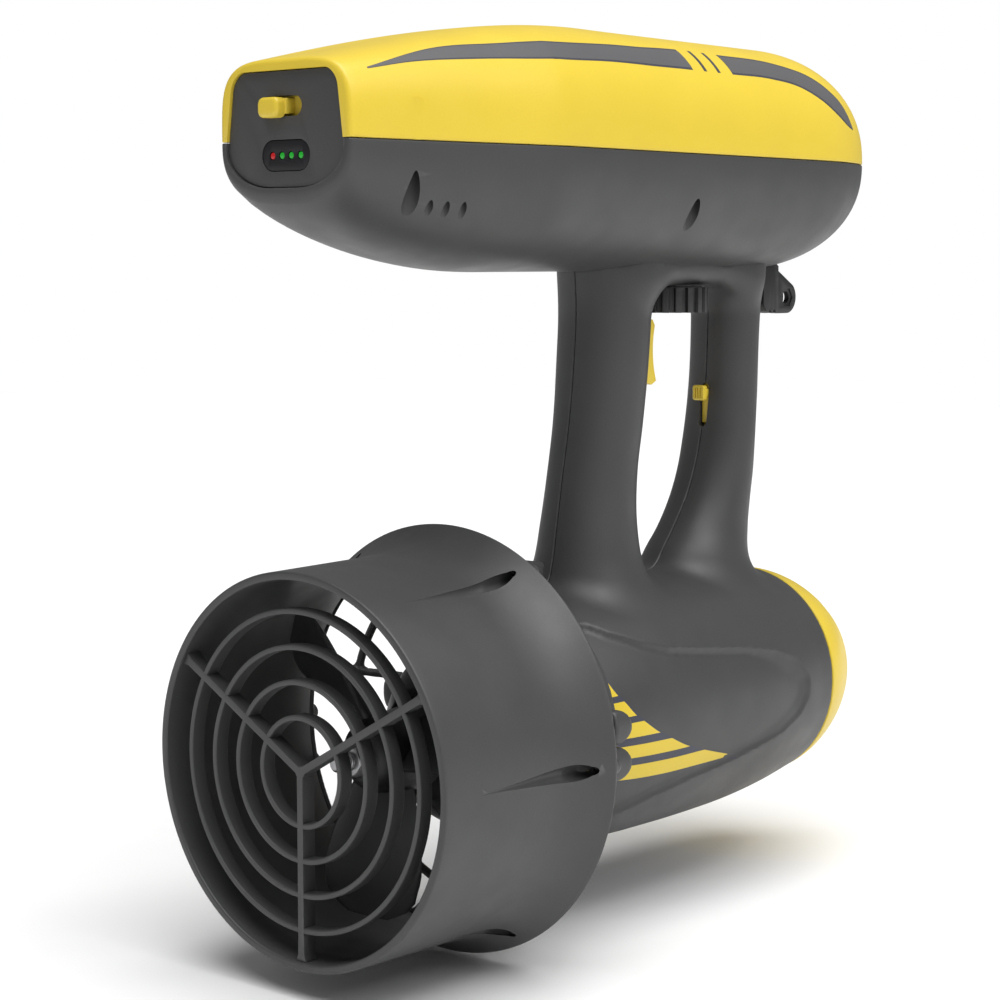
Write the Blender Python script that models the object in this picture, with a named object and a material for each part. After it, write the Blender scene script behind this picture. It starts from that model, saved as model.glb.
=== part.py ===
"""Hand-held underwater scooter: a ducted propeller in a round body, a two-strut handle and a float pod.

Lengths are written in millimetres and turned into metres when a mesh is made.
+X is the way the scooter travels, +Y is its left-hand side and +Z is up.
The origin is on the propeller axis, at the centre of the outlet grille's rear face.
"""

import math

import bmesh
import bpy
from mathutils import Vector

MM = 0.001
GAP = 0.3
WELD = 0.002
SOLID = "MANIFOLD"  # Boolean solver for the shells, whose many crossing faces EXACT leaves open

# Duct, grille and intake guard
DUCT_REAR = -1.7
DUCT_FRONT = 75.7
DUCT_R = 70.0
DUCT_BORE = 67.0
FLARE_R = 80.15
FLARE_LENGTH = 30.0
GRILLE_DEPTH = 6.0
GRILLE_RINGS = (19.0, 31.3, 43.5, 56.0)
GRILLE_BAR = 2.2
CHANNEL_R = 75.0
COLLAR_FRONT = 114.0
COLLAR_R = 51.5
GUARD_R = 79.0
GUARD_BORE = 71.8
RIB_HALF = 1.3
HOOP_BORE = 62.0
LUG_R = 5.8
LUG_HEIGHT = 6.8
LUG_REACH = 57.5
SCREW_COUNT = 6
RIB_COUNT = 12

# Body and nose
BODY_REAR = 64.0
NOSE_JOINT = 269.1
NOSE_LENGTH = 57.0
NOSE_R = 44.6
WALL = 3.0
BODY_OUTLINE = (
    (BODY_REAR, 20.0), (74.0, 29.5), (90.0, 38.0), (110.0, 44.5), (130.0, 48.5), (150.0, 50.4),
    (170.0, 50.8), (200.0, 50.7), (220.0, 50.1), (245.0, 48.0), (NOSE_JOINT - GAP, NOSE_R),
)

# Motor and propeller
SHAFT_R = 3.0
SHAFT_REAR = 17.0
SHAFT_FRONT = 162.0
MOTOR_REAR = 96.0
MOTOR_FRONT = 158.0
MOTOR_R = 23.6
WEB_BORE_R = 24.4
PROP_REAR = 31.0
PROP_FRONT = 58.0
PROP_R = 63.5
PROP_HUB_R = 14.0
BLADES = 3
FIRST_BLADE = -50.0  # degrees from straight up, towards the right-hand side

# Handle
HANDLE_TOP = 171.4
BRIDGE_UNDER = 166.0
TRIGGER_PIVOT = (180.0, 149.0)
TRIGGER_HALF_WIDTH = 6.5
SPRING_R = 2.4
SELECTOR_TOP = 124.3
SELECTOR_FACE = 236.0
KNOB_X = 209.5
KNOB_R = 17.0
KNOB_LOW = 155.0
KNOB_HIGH = 165.0
STUD_R = 4.0

# Float pod
POD_REAR = -4.7
POD_TIP = 326.0
POD_NOSE = 252.0
POD_SPLIT = 216.0
POD_WALL = 3.0
POD_REAR_HALF_WIDTH = 31.0
POD_HALF_WIDTH = 46.0
POD_REAR_TOP = 242.8
POD_TOP = 262.6
POD_REAR_BOTTOM = 197.6
POD_BOTTOM = 171.8
TOP_RISE_LENGTH = 140.0

# Battery module
CAP_HALF_WIDTH = 27.8
CAP_LOW = 200.5
CAP_HIGH = 239.0
CAP_REAR = -3.7
CAP_FRONT = 5.0
CELL_R = 10.4
CELL_LENGTH = 70.0
CELL_Z = 216.0
LATCH_Z = 227.4
LATCH_MIDDLE = 1.7
LED_Z = 211.0
LED_Y = (6.7, 2.2, -2.2, -6.7)

HOUSING_SCREWS = ((171.0, 95.0, 11.5), (248.0, 146.0, 10.0), (235.0, -33.0, 29.0), (140.0, -36.0, 26.0))
POD_SCREWS = ((24.0, 31.2, 207.0), (171.0, 40.5, 202.0))
DRAIN_HOLES = (32.6, 39.7, 47.0)


# ---------------------------------------------------------------- mesh helpers


def clear_scene():
    for obj in list(bpy.data.objects):
        bpy.data.objects.remove(obj, do_unlink=True)


def material(name, colour, roughness, metallic=0.0):
    made = bpy.data.materials.new(name)
    made.use_nodes = True
    shader = made.node_tree.nodes["Principled BSDF"]
    shader.inputs["Base Color"].default_value = (*colour, 1.0)
    shader.inputs["Roughness"].default_value = roughness
    shader.inputs["Metallic"].default_value = metallic
    made.diffuse_color = (*colour, 1.0)
    return made


def finish_mesh(name, bm, mat=None, origin=(0.0, 0.0, 0.0)):
    """Turns a bmesh in millimetres into an object in metres whose origin is at the given point."""
    bmesh.ops.recalc_face_normals(bm, faces=bm.faces)
    bmesh.ops.translate(bm, verts=bm.verts, vec=-Vector(origin))
    bmesh.ops.scale(bm, verts=bm.verts, vec=(MM, MM, MM))
    mesh = bpy.data.meshes.new(name)
    bm.to_mesh(mesh)
    bm.free()
    obj = bpy.data.objects.new(name, mesh)
    obj.location = Vector(origin) * MM
    bpy.context.collection.objects.link(obj)
    if mat is None:
        obj.hide_render = True
        obj.display_type = "WIRE"
        return obj
    mesh.materials.append(mat)
    mesh.shade_smooth()
    mesh.set_sharp_from_angle(angle=math.radians(35))
    return obj


def loft(name, rings, mat=None, origin=(0.0, 0.0, 0.0)):
    """A closed solid through rings of equal point count, with a flat cap at each end."""
    bm = bmesh.new()
    loops = [[bm.verts.new(point) for point in ring] for ring in rings]
    for low, high in zip(loops, loops[1:]):
        for i, (a, b) in enumerate(zip(low, high)):
            j = (i + 1) % len(low)
            bm.faces.new((a, low[j], high[j], b))
    bm.faces.new(loops[0])
    bm.faces.new(loops[-1])
    return finish_mesh(name, bm, mat, origin)


def turned(name, profile, mat=None, axis="X", centre=(0.0, 0.0, 0.0), steps=48, origin=None):
    """Spins a profile of (along, radius) points: a closed loop, unless it starts and ends on the axis."""
    bm = bmesh.new()
    lead, side = {"X": ((1, 0, 0), (0, 0, 1)), "Y": ((0, 1, 0), (0, 0, 1)),
                  "Z": ((0, 0, 1), (1, 0, 0))}[axis]
    verts = [
        bm.verts.new(Vector(centre) + Vector(lead) * along + Vector(side) * radius)
        for along, radius in profile
    ]
    pairs = list(zip(verts, verts[1:]))
    if profile[0][1] > 0:
        pairs.append((verts[-1], verts[0]))
    edges = [bm.edges.new(pair) for pair in pairs]
    bmesh.ops.spin(
        bm, geom=verts + edges, cent=centre, axis=lead, angle=math.tau, steps=steps, use_merge=False
    )
    bmesh.ops.remove_doubles(bm, verts=bm.verts, dist=WELD)
    return finish_mesh(name, bm, mat, centre if origin is None else origin)


def cylinder(name, axis, centre, low, high, radius, mat=None, steps=20, origin=None):
    profile = [(low, 0), (low, radius), (high, radius), (high, 0)]
    return turned(name, profile, mat, axis, centre, steps, origin)


def tube(name, axis, centre, low, high, inner, outer, mat, steps=24):
    profile = [(low, inner), (low, outer), (high, outer), (high, inner)]
    return turned(name, profile, mat, axis, centre, steps)


def prism(name, outline, axis, low, high, mat=None, origin=(0.0, 0.0, 0.0)):
    """Extrudes an outline: (y, z) points along X, (x, z) points along Y or (x, y) points along Z."""
    place = {
        "X": lambda u, v, w: (w, u, v),
        "Y": lambda u, v, w: (u, w, v),
        "Z": lambda u, v, w: (u, v, w),
    }[axis]
    bm = bmesh.new()
    face = bm.faces.new([bm.verts.new(place(u, v, low)) for u, v in outline])
    moved = bmesh.ops.extrude_face_region(bm, geom=[face])
    verts = [item for item in moved["geom"] if isinstance(item, bmesh.types.BMVert)]
    bmesh.ops.translate(bm, verts=verts, vec=place(0.0, 0.0, high - low))
    return finish_mesh(name, bm, mat, origin)


def block(name, low, high, mat=None, bevel=0.0, origin=(0.0, 0.0, 0.0)):
    """A box between two corners, its edges rounded by one chamfer."""
    bm = bmesh.new()
    bmesh.ops.create_cube(bm, size=1.0)
    size = Vector(high) - Vector(low)
    bmesh.ops.scale(bm, verts=bm.verts, vec=size)
    bmesh.ops.translate(bm, verts=bm.verts, vec=(Vector(high) + Vector(low)) / 2)
    if bevel:
        bmesh.ops.bevel(bm, geom=list(bm.edges), offset=bevel, segments=1, affect="EDGES")
    return finish_mesh(name, bm, mat, origin)


def boolean(obj, other, operation="DIFFERENCE", solver="EXACT"):
    modifier = obj.modifiers.new(other.name, "BOOLEAN")
    modifier.operation = operation
    modifier.solver = solver
    modifier.object = other
    other.hide_render = True
    other.display_type = "WIRE"


def cut(obj, *cutters, solver="EXACT"):
    for cutter in cutters:
        boolean(obj, cutter, "DIFFERENCE", solver)


def add(obj, *others, solver="EXACT"):
    for other in others:
        boolean(obj, other, "UNION", solver)


def arc(centre, radius, start, end, steps):
    """Points on an arc, angles in degrees, both ends included."""
    turns = [math.radians(start + (end - start) * i / steps) for i in range(steps + 1)]
    return [(centre[0] + radius * math.cos(t), centre[1] + radius * math.sin(t)) for t in turns]


def rounded_box(half_width, low, high, low_radius, high_radius, steps=4):
    """A (u, v) outline with round lower and upper corners, centred on u = 0."""
    points = []
    corners = (
        (half_width - high_radius, high - high_radius, high_radius, 0),
        (-half_width + high_radius, high - high_radius, high_radius, 90),
        (-half_width + low_radius, low + low_radius, low_radius, 180),
        (half_width - low_radius, low + low_radius, low_radius, 270),
    )
    for u, v, radius, start in corners:
        points += arc((u, v), radius, start, start + 90, steps)
    return points


def ellipse_ring(centre_x, half_x, half_y, z, steps=18):
    turns = [math.tau * i / steps for i in range(steps)]
    return [(centre_x + half_x * math.cos(t), half_y * math.sin(t), z) for t in turns]


def smoothstep(value):
    value = min(max(value, 0.0), 1.0)
    return value * value * (3 - 2 * value)


def between(points, at):
    """Straight-line reading of a list of (position, value) points."""
    for (a, low), (b, high) in zip(points, points[1:]):
        if at <= b:
            return low + (high - low) * max(at - a, 0.0) / (b - a)
    return points[-1][1]


# ---------------------------------------------------------------- float pod


def nose_factor(x, power):
    return max(1 - (max(x - POD_NOSE, 0.0) / (POD_TIP - POD_NOSE)) ** power, 0.0) ** (1 / power)


def pod_half_width(x):
    grown = smoothstep((x - POD_REAR + 60) / 260) * 2 - 0.27
    rear = POD_REAR_HALF_WIDTH + (POD_HALF_WIDTH - POD_REAR_HALF_WIDTH) * min(max(grown, 0.0), 1.0)
    return rear * nose_factor(x, 2.0)


def pod_rise(x):
    grown = math.sin(math.pi / 2 * min((x - POD_REAR) / TOP_RISE_LENGTH, 1.0))
    top = POD_REAR_TOP + (POD_TOP - POD_REAR_TOP) * grown
    return (top - POD_SPLIT) * nose_factor(x, 2.0)


def pod_drop(x):
    grown = math.sin(math.pi / 2 * min((x - POD_REAR) / 95, 1.0)) ** 0.6
    bottom = POD_REAR_BOTTOM + (POD_BOTTOM - POD_REAR_BOTTOM) * grown
    return (POD_SPLIT - bottom) * nose_factor(x, 2.0)


def pod_stations(inset):
    body = [POD_REAR, 6, 22, 45, 80, 125, 190]
    tip = POD_TIP - inset
    nose = [POD_NOSE + (tip - POD_NOSE) * math.sin(math.radians(a)) for a in (0, 26, 48, 66, 81)]
    return body + nose


def pod_half_solid(name, side, inset, start, mat=None):
    """The pod's outer form above (side 1) or below (side -1) its split plane, shrunk by an inset."""
    half_gap = GAP / 2
    rings = []
    for x in pod_stations(inset):
        if x < start:
            x = start
        width = max(pod_half_width(x + inset * 0.6) - inset, 1.2)
        height = max((pod_rise(x) if side > 0 else pod_drop(x)) - inset, 1.2)
        square = between([(POD_REAR, 4.2), (60, 3.2), (150, 2.6), (POD_TIP, 2.3)], x)
        if side < 0:
            square = between([(POD_REAR, 2.7), (60, 2.3), (POD_TIP, 2.2)], x)
        ring = []
        for step in range(11):
            turn = math.pi * step / 10
            across = math.copysign(abs(math.cos(turn)) ** (2 / square), math.cos(turn))
            ring.append((x, width * across,
                         POD_SPLIT + side * (half_gap + height * math.sin(turn) ** (2 / square))))
        if not rings or x > rings[-1][0][0] + 0.5:
            rings.append(ring)
    return loft(name, rings, mat)


def cap_outline(offset):
    return rounded_box(
        CAP_HALF_WIDTH + offset, CAP_LOW - offset, CAP_HIGH + offset, 14.0 + offset, 4.0 + offset
    )


def seam_outline(outer_inset, inner_inset):
    """A U in plan that follows the pod's edge round the nose."""
    stations = [3, 20, 45, 82, 120, 165, 210] + [
        POD_NOSE + (POD_TIP - POD_NOSE) * math.sin(math.radians(a)) for a in (0, 20, 38, 54, 67, 77)
    ]

    def side(inset, sign):
        return [(x - inset * max(x - POD_NOSE, 0) / (POD_TIP - POD_NOSE),
                 sign * (pod_half_width(x) - inset))
                for x in stations]

    def tip(inset):
        return [(POD_TIP - inset, 0.0)]

    outer = side(outer_inset, 1) + tip(outer_inset) + side(outer_inset, -1)[::-1]
    inner = side(inner_inset, -1) + tip(inner_inset) + side(inner_inset, 1)[::-1]
    return outer + inner


def pod_bosses(name, low, high):
    """The posts for the four pod screws."""
    posts = []
    for x, y, _ in POD_SCREWS:
        for side in (1, -1):
            posts.append(cylinder(f"{name}_post", "Z", (x, side * y, 0), low, high, 3.8, steps=12))
    return posts


def make_pod_top_cover():
    cover = pod_half_solid("pod_top_cover", 1, 0.0, POD_REAR, YELLOW)
    cavity = pod_half_solid("pod_top_cavity", 1, POD_WALL, POD_REAR + POD_WALL)
    cavity.location.z -= 1.0 * MM
    cut(cavity, *pod_bosses("pod_top", POD_SPLIT - 5, POD_SPLIT + 14))
    cut(cover, cavity)
    cut(cover, prism("pod_top_rear_opening", cap_outline(GAP), "X", POD_REAR - 1, POD_REAR + 10))
    cut(cover, prism("pod_top_seam_groove", seam_outline(0.6, 1.9), "Z", POD_SPLIT - 2, POD_SPLIT + 1.4))
    for x, y, _ in POD_SCREWS:
        for side in (1, -1):
            cut(cover, cylinder("pod_top_thread", "Z", (x, side * y, 0), POD_SPLIT - 2, POD_SPLIT + 10,
                                1.5, steps=8))


def make_pod_lower_shell():
    shell = pod_half_solid("pod_lower_shell", -1, 0.0, POD_REAR, DARK)
    cavity = pod_half_solid("pod_lower_cavity", -1, POD_WALL, POD_REAR + POD_WALL)
    cavity.location.z += 1.0 * MM
    cut(cavity, *pod_bosses("pod_lower", 150, POD_SPLIT + 5), solver=SOLID)
    cut(cavity, cylinder("stud_boss", "Z", (KNOB_X, 0, 0), 165, 188, 9.0, steps=20), solver=SOLID)
    cut(shell, cavity, solver=SOLID)
    cut(shell, prism("pod_lower_rear_opening", cap_outline(GAP), "X", POD_REAR - 1, POD_REAR + 10),
        solver=SOLID)
    cut(shell, prism("pod_lower_seam_groove", seam_outline(0.6, 1.9), "Z", POD_SPLIT - 1.4, POD_SPLIT + 2),
        solver=SOLID)
    cut(shell, cylinder("stud_bore", "Z", (KNOB_X, 0, 0), 165, 187, STUD_R + GAP, steps=20), solver=SOLID)
    cut(shell, cylinder("pod_cable_hole", "Z", (158.5, 0, 0), 165, 180, 3.0, steps=16), solver=SOLID)
    for x, y, head in POD_SCREWS:
        for side in (1, -1):
            centre = (x, side * y, 0)
            cut(shell, cylinder("pod_screw_recess", "Z", centre, 160, head + 2.6, 2.95, steps=10),
                solver=SOLID)
            cut(shell, cylinder("pod_screw_bore", "Z", centre, head, POD_SPLIT + 2, 1.5, steps=8),
                solver=SOLID)
    for x in DRAIN_HOLES:
        for side in (1, -1):
            y = side * (pod_half_width(x) - 4.8)
            cut(shell, cylinder("drain_hole", "Z", (x, y, 0), 170, 206, 1.3, steps=8), solver=SOLID)


def make_pod_seam_gasket():
    prism("pod_seam_gasket", seam_outline(0.9, 1.6), "Z", POD_SPLIT - 1.1, POD_SPLIT + 1.1, RUBBER)


def make_pod_screws():
    number = 1
    for x, y, head in POD_SCREWS:
        for side in (1, -1):
            profile = [(head, 0), (head, 2.6), (head + 2.3, 2.6), (head + 2.3, 1.2), (POD_SPLIT + 9, 1.2),
                       (POD_SPLIT + 9, 0)]
            turned(f"pod_screw_{number}", profile, STEEL, "Z", (x, side * y, 0), 8)
            number += 1


def make_camera_mount():
    """Two fingers with a cross hole, under a foot that sits against the pod's underside."""
    hole = (290.0, 160.0)
    fingers = arc(hole, 7.5, -135, 45, 10) + [(286.0, 176.5), (268.5, 176.5), (268.5, 168.0),
                                              (277.0, 166.0)]
    mount = prism("camera_mount", fingers, "Y", -7.6, 7.6, DARK)
    shape = pod_half_solid("mount_saddle", -1, -GAP, POD_REAR)
    cut(mount, shape)
    cut(mount, block("finger_slot", (277.5, -1.6, 145), (300, 1.6, 168.5)))
    for side in (1, -1):
        low, high = sorted((side * 4.8, side * 9.0))
        cut(mount, block("finger_flank", (279.5, low, 145), (300, high, 170.0)))
    cut(mount, cylinder("finger_hole", "Y", (hole[0], 0, hole[1]), -10, 10, 2.6, steps=16))


# ---------------------------------------------------------------- battery module


def make_battery_end_cap():
    cap = prism("battery_end_cap", cap_outline(0.0), "X", CAP_REAR, CAP_REAR + 4.8, DARK)
    add(cap, prism("cap_plug", cap_outline(-3.0), "X", CAP_REAR + 4.0, CAP_FRONT))
    pill = rounded_box(11.5, LED_Z - 5.3, LED_Z + 5.3, 5.2, 5.2)
    cut(cap, prism("lens_pocket", pill, "X", CAP_REAR - 1, CAP_REAR + 3.6))
    slot = [(y + LATCH_MIDDLE, z) for y, z in rounded_box(9.5, LATCH_Z - 3.4, LATCH_Z + 3.4, 3.3, 3.3)]
    cut(cap, prism("latch_slot", slot, "X", CAP_REAR - 1, CAP_REAR + 4.5))
    cut(cap, block("latch_pocket", (CAP_REAR + 3, -17.0, LATCH_Z - 5), (CAP_FRONT + 1, 17.0, LATCH_Z + 5)))


def make_indicator():
    pill = rounded_box(11.2, LED_Z - 5.0, LED_Z + 5.0, 4.9, 4.9)
    lens = prism("indicator_lens", pill, "X", CAP_REAR + 0.2, CAP_REAR + 1.6, LENS)
    for number, y in enumerate(LED_Y):
        name = "led_red" if number == 0 else f"led_green_{number}"
        mat = RED if number == 0 else GREEN
        cut(lens, cylinder("led_window", "X", (0, y, LED_Z), CAP_REAR - 1, CAP_REAR + 3, 1.4, steps=8))
        profile = [(CAP_REAR - 0.1, 0), (CAP_REAR + 0.1, 0.8), (CAP_REAR + 0.5, 1.1), (CAP_REAR + 3.2, 1.1),
                   (CAP_REAR + 3.2, 0)]
        turned(name, profile, mat, "X", (0, y, LED_Z), 8)


def make_battery_latch():
    """A thumb knob outside the slot, a neck through it and a wide plate behind it."""
    origin = (CAP_REAR, 4.0, LATCH_Z)
    latch = block("battery_latch", (CAP_REAR - 4.4, -2.3, LATCH_Z - 4.0),
                  (CAP_REAR - 0.4, 10.2, LATCH_Z + 3.8),
                  YELLOW, 1.1, origin)
    add(latch, block("latch_neck", (CAP_REAR - 2, -1.0, LATCH_Z - 2.6),
                     (CAP_REAR + 4.2, 9.6, LATCH_Z + 2.6)))
    add(latch, block("latch_plate", (CAP_REAR + 3.5, -9.6, LATCH_Z - 4.4),
                     (CAP_REAR + 5.6, 15.8, LATCH_Z + 4.4)))


def make_battery_tray():
    tray = block("battery_tray", (CAP_FRONT + GAP, -23.8, 203.0), (153.5, 23.8, 218.0), PLASTIC_BLACK, 2.2)
    cut(tray, block("tray_hollow", (CAP_FRONT + 2.3, -22.3, 204.5), (152.0, 22.3, 225.0)))


def make_battery_cells():
    number = 1
    for start in (8.5, 8.5 + CELL_LENGTH + 1.5):
        for side in (1, -1):
            profile = [(start, 0), (start, CELL_R), (start + CELL_LENGTH - 1, CELL_R),
                       (start + CELL_LENGTH - 1, 3.0), (start + CELL_LENGTH, 3.0), (start + CELL_LENGTH, 0)]
            turned(f"battery_cell_{number}", profile, CELL_WRAP, "X", (0, side * 11.0, CELL_Z), 16)
            number += 1


def make_battery_gasket():
    ring = prism("battery_gasket", cap_outline(-1.0), "X", CAP_REAR + 5.2, CAP_REAR + 7.2, RUBBER)
    cut(ring, prism("gasket_inside", cap_outline(-2.6), "X", CAP_REAR, CAP_FRONT + 5))


# ---------------------------------------------------------------- handle and body halves

REAR_STRUT = (
    (36.0, 160.0, 29.0, 27.0), (48.0, 159.5, 25.5, 24.0), (60.0, 159.3, 22.0, 20.5),
    (73.0, 159.6, 20.0, 18.6),
    (94.0, 162.0, 18.7, 17.2), (111.0, 165.0, 18.4, 17.4), (137.0, 168.0, 18.2, 18.2),
    (154.0, 169.2, 18.2, 18.4), (HANDLE_TOP, 168.5, 19.0, 18.8),
)
FRONT_STRUT = (
    (36.0, 233.0, 26.0, 26.0), (46.0, 231.0, 27.0, 23.0), (55.0, 231.5, 25.0, 20.0),
    (65.0, 236.0, 21.5, 17.6),
    (77.0, 241.0, 17.6, 16.6), (89.0, 244.8, 15.3, 16.2), (101.0, 247.0, 13.6, 16.0),
    (118.0, 249.2, 12.9, 15.4), (151.0, 251.0, 12.7, 15.2), (HANDLE_TOP, 252.0, 14.0, 16.5),
)


def strut(name, sections, inset, low, high, mat=None):
    rings = []
    for z, x, half_x, half_y in sections:
        height = min(max(z, low), high)
        rings.append(ellipse_ring(x, half_x - inset, half_y - inset, height))
    rings = [ring for ring, after in zip(rings,
                                         rings[1:] + [None]) if after is None or after[0][2] > ring[0][2]]
    return loft(name, rings, mat)


def body_profile(inset, rear, front):
    inner = [(x, radius - inset) for x, radius in BODY_OUTLINE if rear < x < front]
    start = between([(x, radius - inset) for x, radius in BODY_OUTLINE], rear)
    return [(rear, 0), (rear, start)] + inner + [(front, NOSE_R - inset), (front, 0)]


def body_cavity_profile():
    """The hollow's profile, which steps in round the motor to leave two webs that hold it."""
    points = body_profile(WALL, BODY_REAR + 6, NOSE_JOINT + 5)
    kept = []
    webs = [(104.0, 108.0), (148.0, 152.0)]
    reading = [(x, radius - WALL) for x, radius in BODY_OUTLINE]
    for x, radius in points:
        while webs and x > webs[0][0]:
            low, high = webs.pop(0)
            kept += [(low, between(reading, low)), (low, WEB_BORE_R), (high, WEB_BORE_R),
                     (high, between(reading, high))]
        kept.append((x, radius))
    return kept


def housing_cavity(name):
    cavity = turned(f"{name}_body_hollow", body_cavity_profile(), steps=18)
    add(cavity, strut(f"{name}_rear_hollow", REAR_STRUT, WALL, 40.0, HANDLE_TOP - WALL), solver=SOLID)
    add(cavity, strut(f"{name}_front_hollow", FRONT_STRUT, WALL, 40.0, HANDLE_TOP - WALL), solver=SOLID)
    for x, z, _ in HOUSING_SCREWS:
        cut(cavity, cylinder(f"{name}_screw_post", "Y", (x, 0, z), -45, 45, 4.2, steps=12), solver=SOLID)
    for side in (1, -1):
        low, high = sorted((side * 10.0, side * 25.0))
        pin = (TRIGGER_PIVOT[0], 0, TRIGGER_PIVOT[1])
        cut(cavity, cylinder(f"{name}_pin_post", "Y", pin, low, high, 3.6, steps=12), solver=SOLID)
    return cavity


def housing_half(name, side):
    half = turned(name, body_profile(0.0, BODY_REAR, NOSE_JOINT - GAP), DARK, steps=28)
    add(half, strut(f"{name}_rear_strut", REAR_STRUT, 0.0, 36.0, HANDLE_TOP), solver=SOLID)
    add(half, strut(f"{name}_front_strut", FRONT_STRUT, 0.0, 36.0, HANDLE_TOP), solver=SOLID)
    bridge = [(u + 208.0, v) for u, v in rounded_box(53.0, -17.0, 17.0, 12.0, 12.0, 3)]
    add(half, prism(f"{name}_bridge", bridge, "Z", BRIDGE_UNDER, HANDLE_TOP), solver=SOLID)
    cut(half, housing_cavity(name), solver=SOLID)
    cut(half, cylinder(f"{name}_seal_bore", "X", (0, 0, 0), BODY_REAR - 2, BODY_REAR + 12, 8.3, steps=24),
        solver=SOLID)
    cut(half, block(f"{name}_trigger_slot", (180.0, -7.2, 120.5), (200.0, 7.2, 155.5)), solver=SOLID)
    cut(half, block(f"{name}_spring_pocket", (176.0, 6.9, 145.5), (183.1, 10.2, 152.5)), solver=SOLID)
    cut(half, block(f"{name}_selector_slot", (230.0, -2.1, 107.0), (246.0, 2.1, 125.0)), solver=SOLID)
    cut(half, block(f"{name}_selector_pocket", (SELECTOR_FACE + 1.6, -5.2, 95.0), (246.0, 5.2, 128.5)),
        solver=SOLID)
    cut(half, cylinder(f"{name}_stud_hole", "Z", (KNOB_X, 0, 0), 160, 175, STUD_R + GAP, steps=20),
        solver=SOLID)
    cut(half, cylinder(f"{name}_cable_hole", "Z", (158.5, 0, 0), 160, 175, 3.0, steps=16), solver=SOLID)
    pin = (TRIGGER_PIVOT[0], 0, TRIGGER_PIVOT[1])
    cut(half, cylinder(f"{name}_pin_hole", "Y", pin, -13, 13, 1.8, steps=12), solver=SOLID)
    for x, z, head in HOUSING_SCREWS:
        cut(half, cylinder(f"{name}_screw_bore", "Y", (x, 0, z), -9, head + 1, 1.8, steps=10), solver=SOLID)
        cut(half, cylinder(f"{name}_screw_recess", "Y", (x, 0, z), head - GAP, 60, 3.5, steps=12),
            solver=SOLID)
    low, high = sorted((-side * 90.0, side * GAP / 2))
    cut(half, block(f"{name}_other_side", (0.0, low, -90.0), (300.0, high, 200.0)), solver=SOLID)


def make_housing_screws():
    for number, (x, z, head) in enumerate(HOUSING_SCREWS, 1):
        profile = [(-8, 0), (-8, 1.5), (head, 1.5), (head, 3.1), (head + 2.4, 3.1), (head + 2.4, 0)]
        turned(f"housing_screw_{number}", profile, STEEL, "Y", (x, 0, z), 8)


def nose_profile(inset):
    points = []
    for angle in (0, 17, 34, 50, 65, 78, 90):
        u = math.sin(math.radians(angle))
        radius = (NOSE_R - inset) * (1 - u ** 1.5) ** (1 / 1.5)
        points.append((NOSE_JOINT + (NOSE_LENGTH - inset) * u, radius))
    return points


NOSE_SCREWS = (133.0, 253.0, 13.0)
NOSE_SCREW_R = 36.5


def make_nose_cap():
    outer = nose_profile(0.0)
    inner = nose_profile(WALL)
    cap = turned("nose_cap", [(NOSE_JOINT, 0)] + outer, YELLOW, steps=24)
    hollow = turned("nose_hollow", [(NOSE_JOINT - 2, 0), (NOSE_JOINT - 2, NOSE_R - WALL)] + inner, steps=14)
    for angle in NOSE_SCREWS:
        cut(hollow, cylinder("nose_post", "X", nose_point(angle), NOSE_JOINT - 3, NOSE_JOINT + 25, 4.6,
                             steps=12))
    cut(cap, hollow)
    for angle in NOSE_SCREWS:
        centre = nose_point(angle)
        cut(cap, cylinder("nose_bore", "X", centre, NOSE_JOINT - 2, NOSE_JOINT + 9, 1.8, steps=12))
        cut(cap, cylinder("nose_recess", "X", centre, NOSE_JOINT + 6, NOSE_JOINT + 40, 3.1, steps=16))


def nose_point(angle):
    turn = math.radians(angle)
    return (0.0, NOSE_SCREW_R * math.cos(turn), NOSE_SCREW_R * math.sin(turn))


def make_nose_gasket():
    gasket = tube("nose_gasket", "X", (0, 0, 0), NOSE_JOINT - 4.5, NOSE_JOINT - 0.6, 32.0, 40.4, RUBBER, 24)
    for angle in NOSE_SCREWS:
        centre = nose_point(angle)
        cut(gasket, cylinder("gasket_hole", "X", centre, NOSE_JOINT - 8, NOSE_JOINT + 2, 1.9, steps=12))


def make_nose_screws():
    for number, angle in enumerate(NOSE_SCREWS, 1):
        head = NOSE_JOINT + 6.4
        profile = [(NOSE_JOINT - 8, 0), (NOSE_JOINT - 8, 1.5), (head, 1.5), (head, 2.7), (head + 2.2, 2.7),
                   (head + 2.2, 0)]
        turned(f"nose_screw_{number}", profile, STEEL, "X", nose_point(angle), 8)


# ---------------------------------------------------------------- drive


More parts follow.
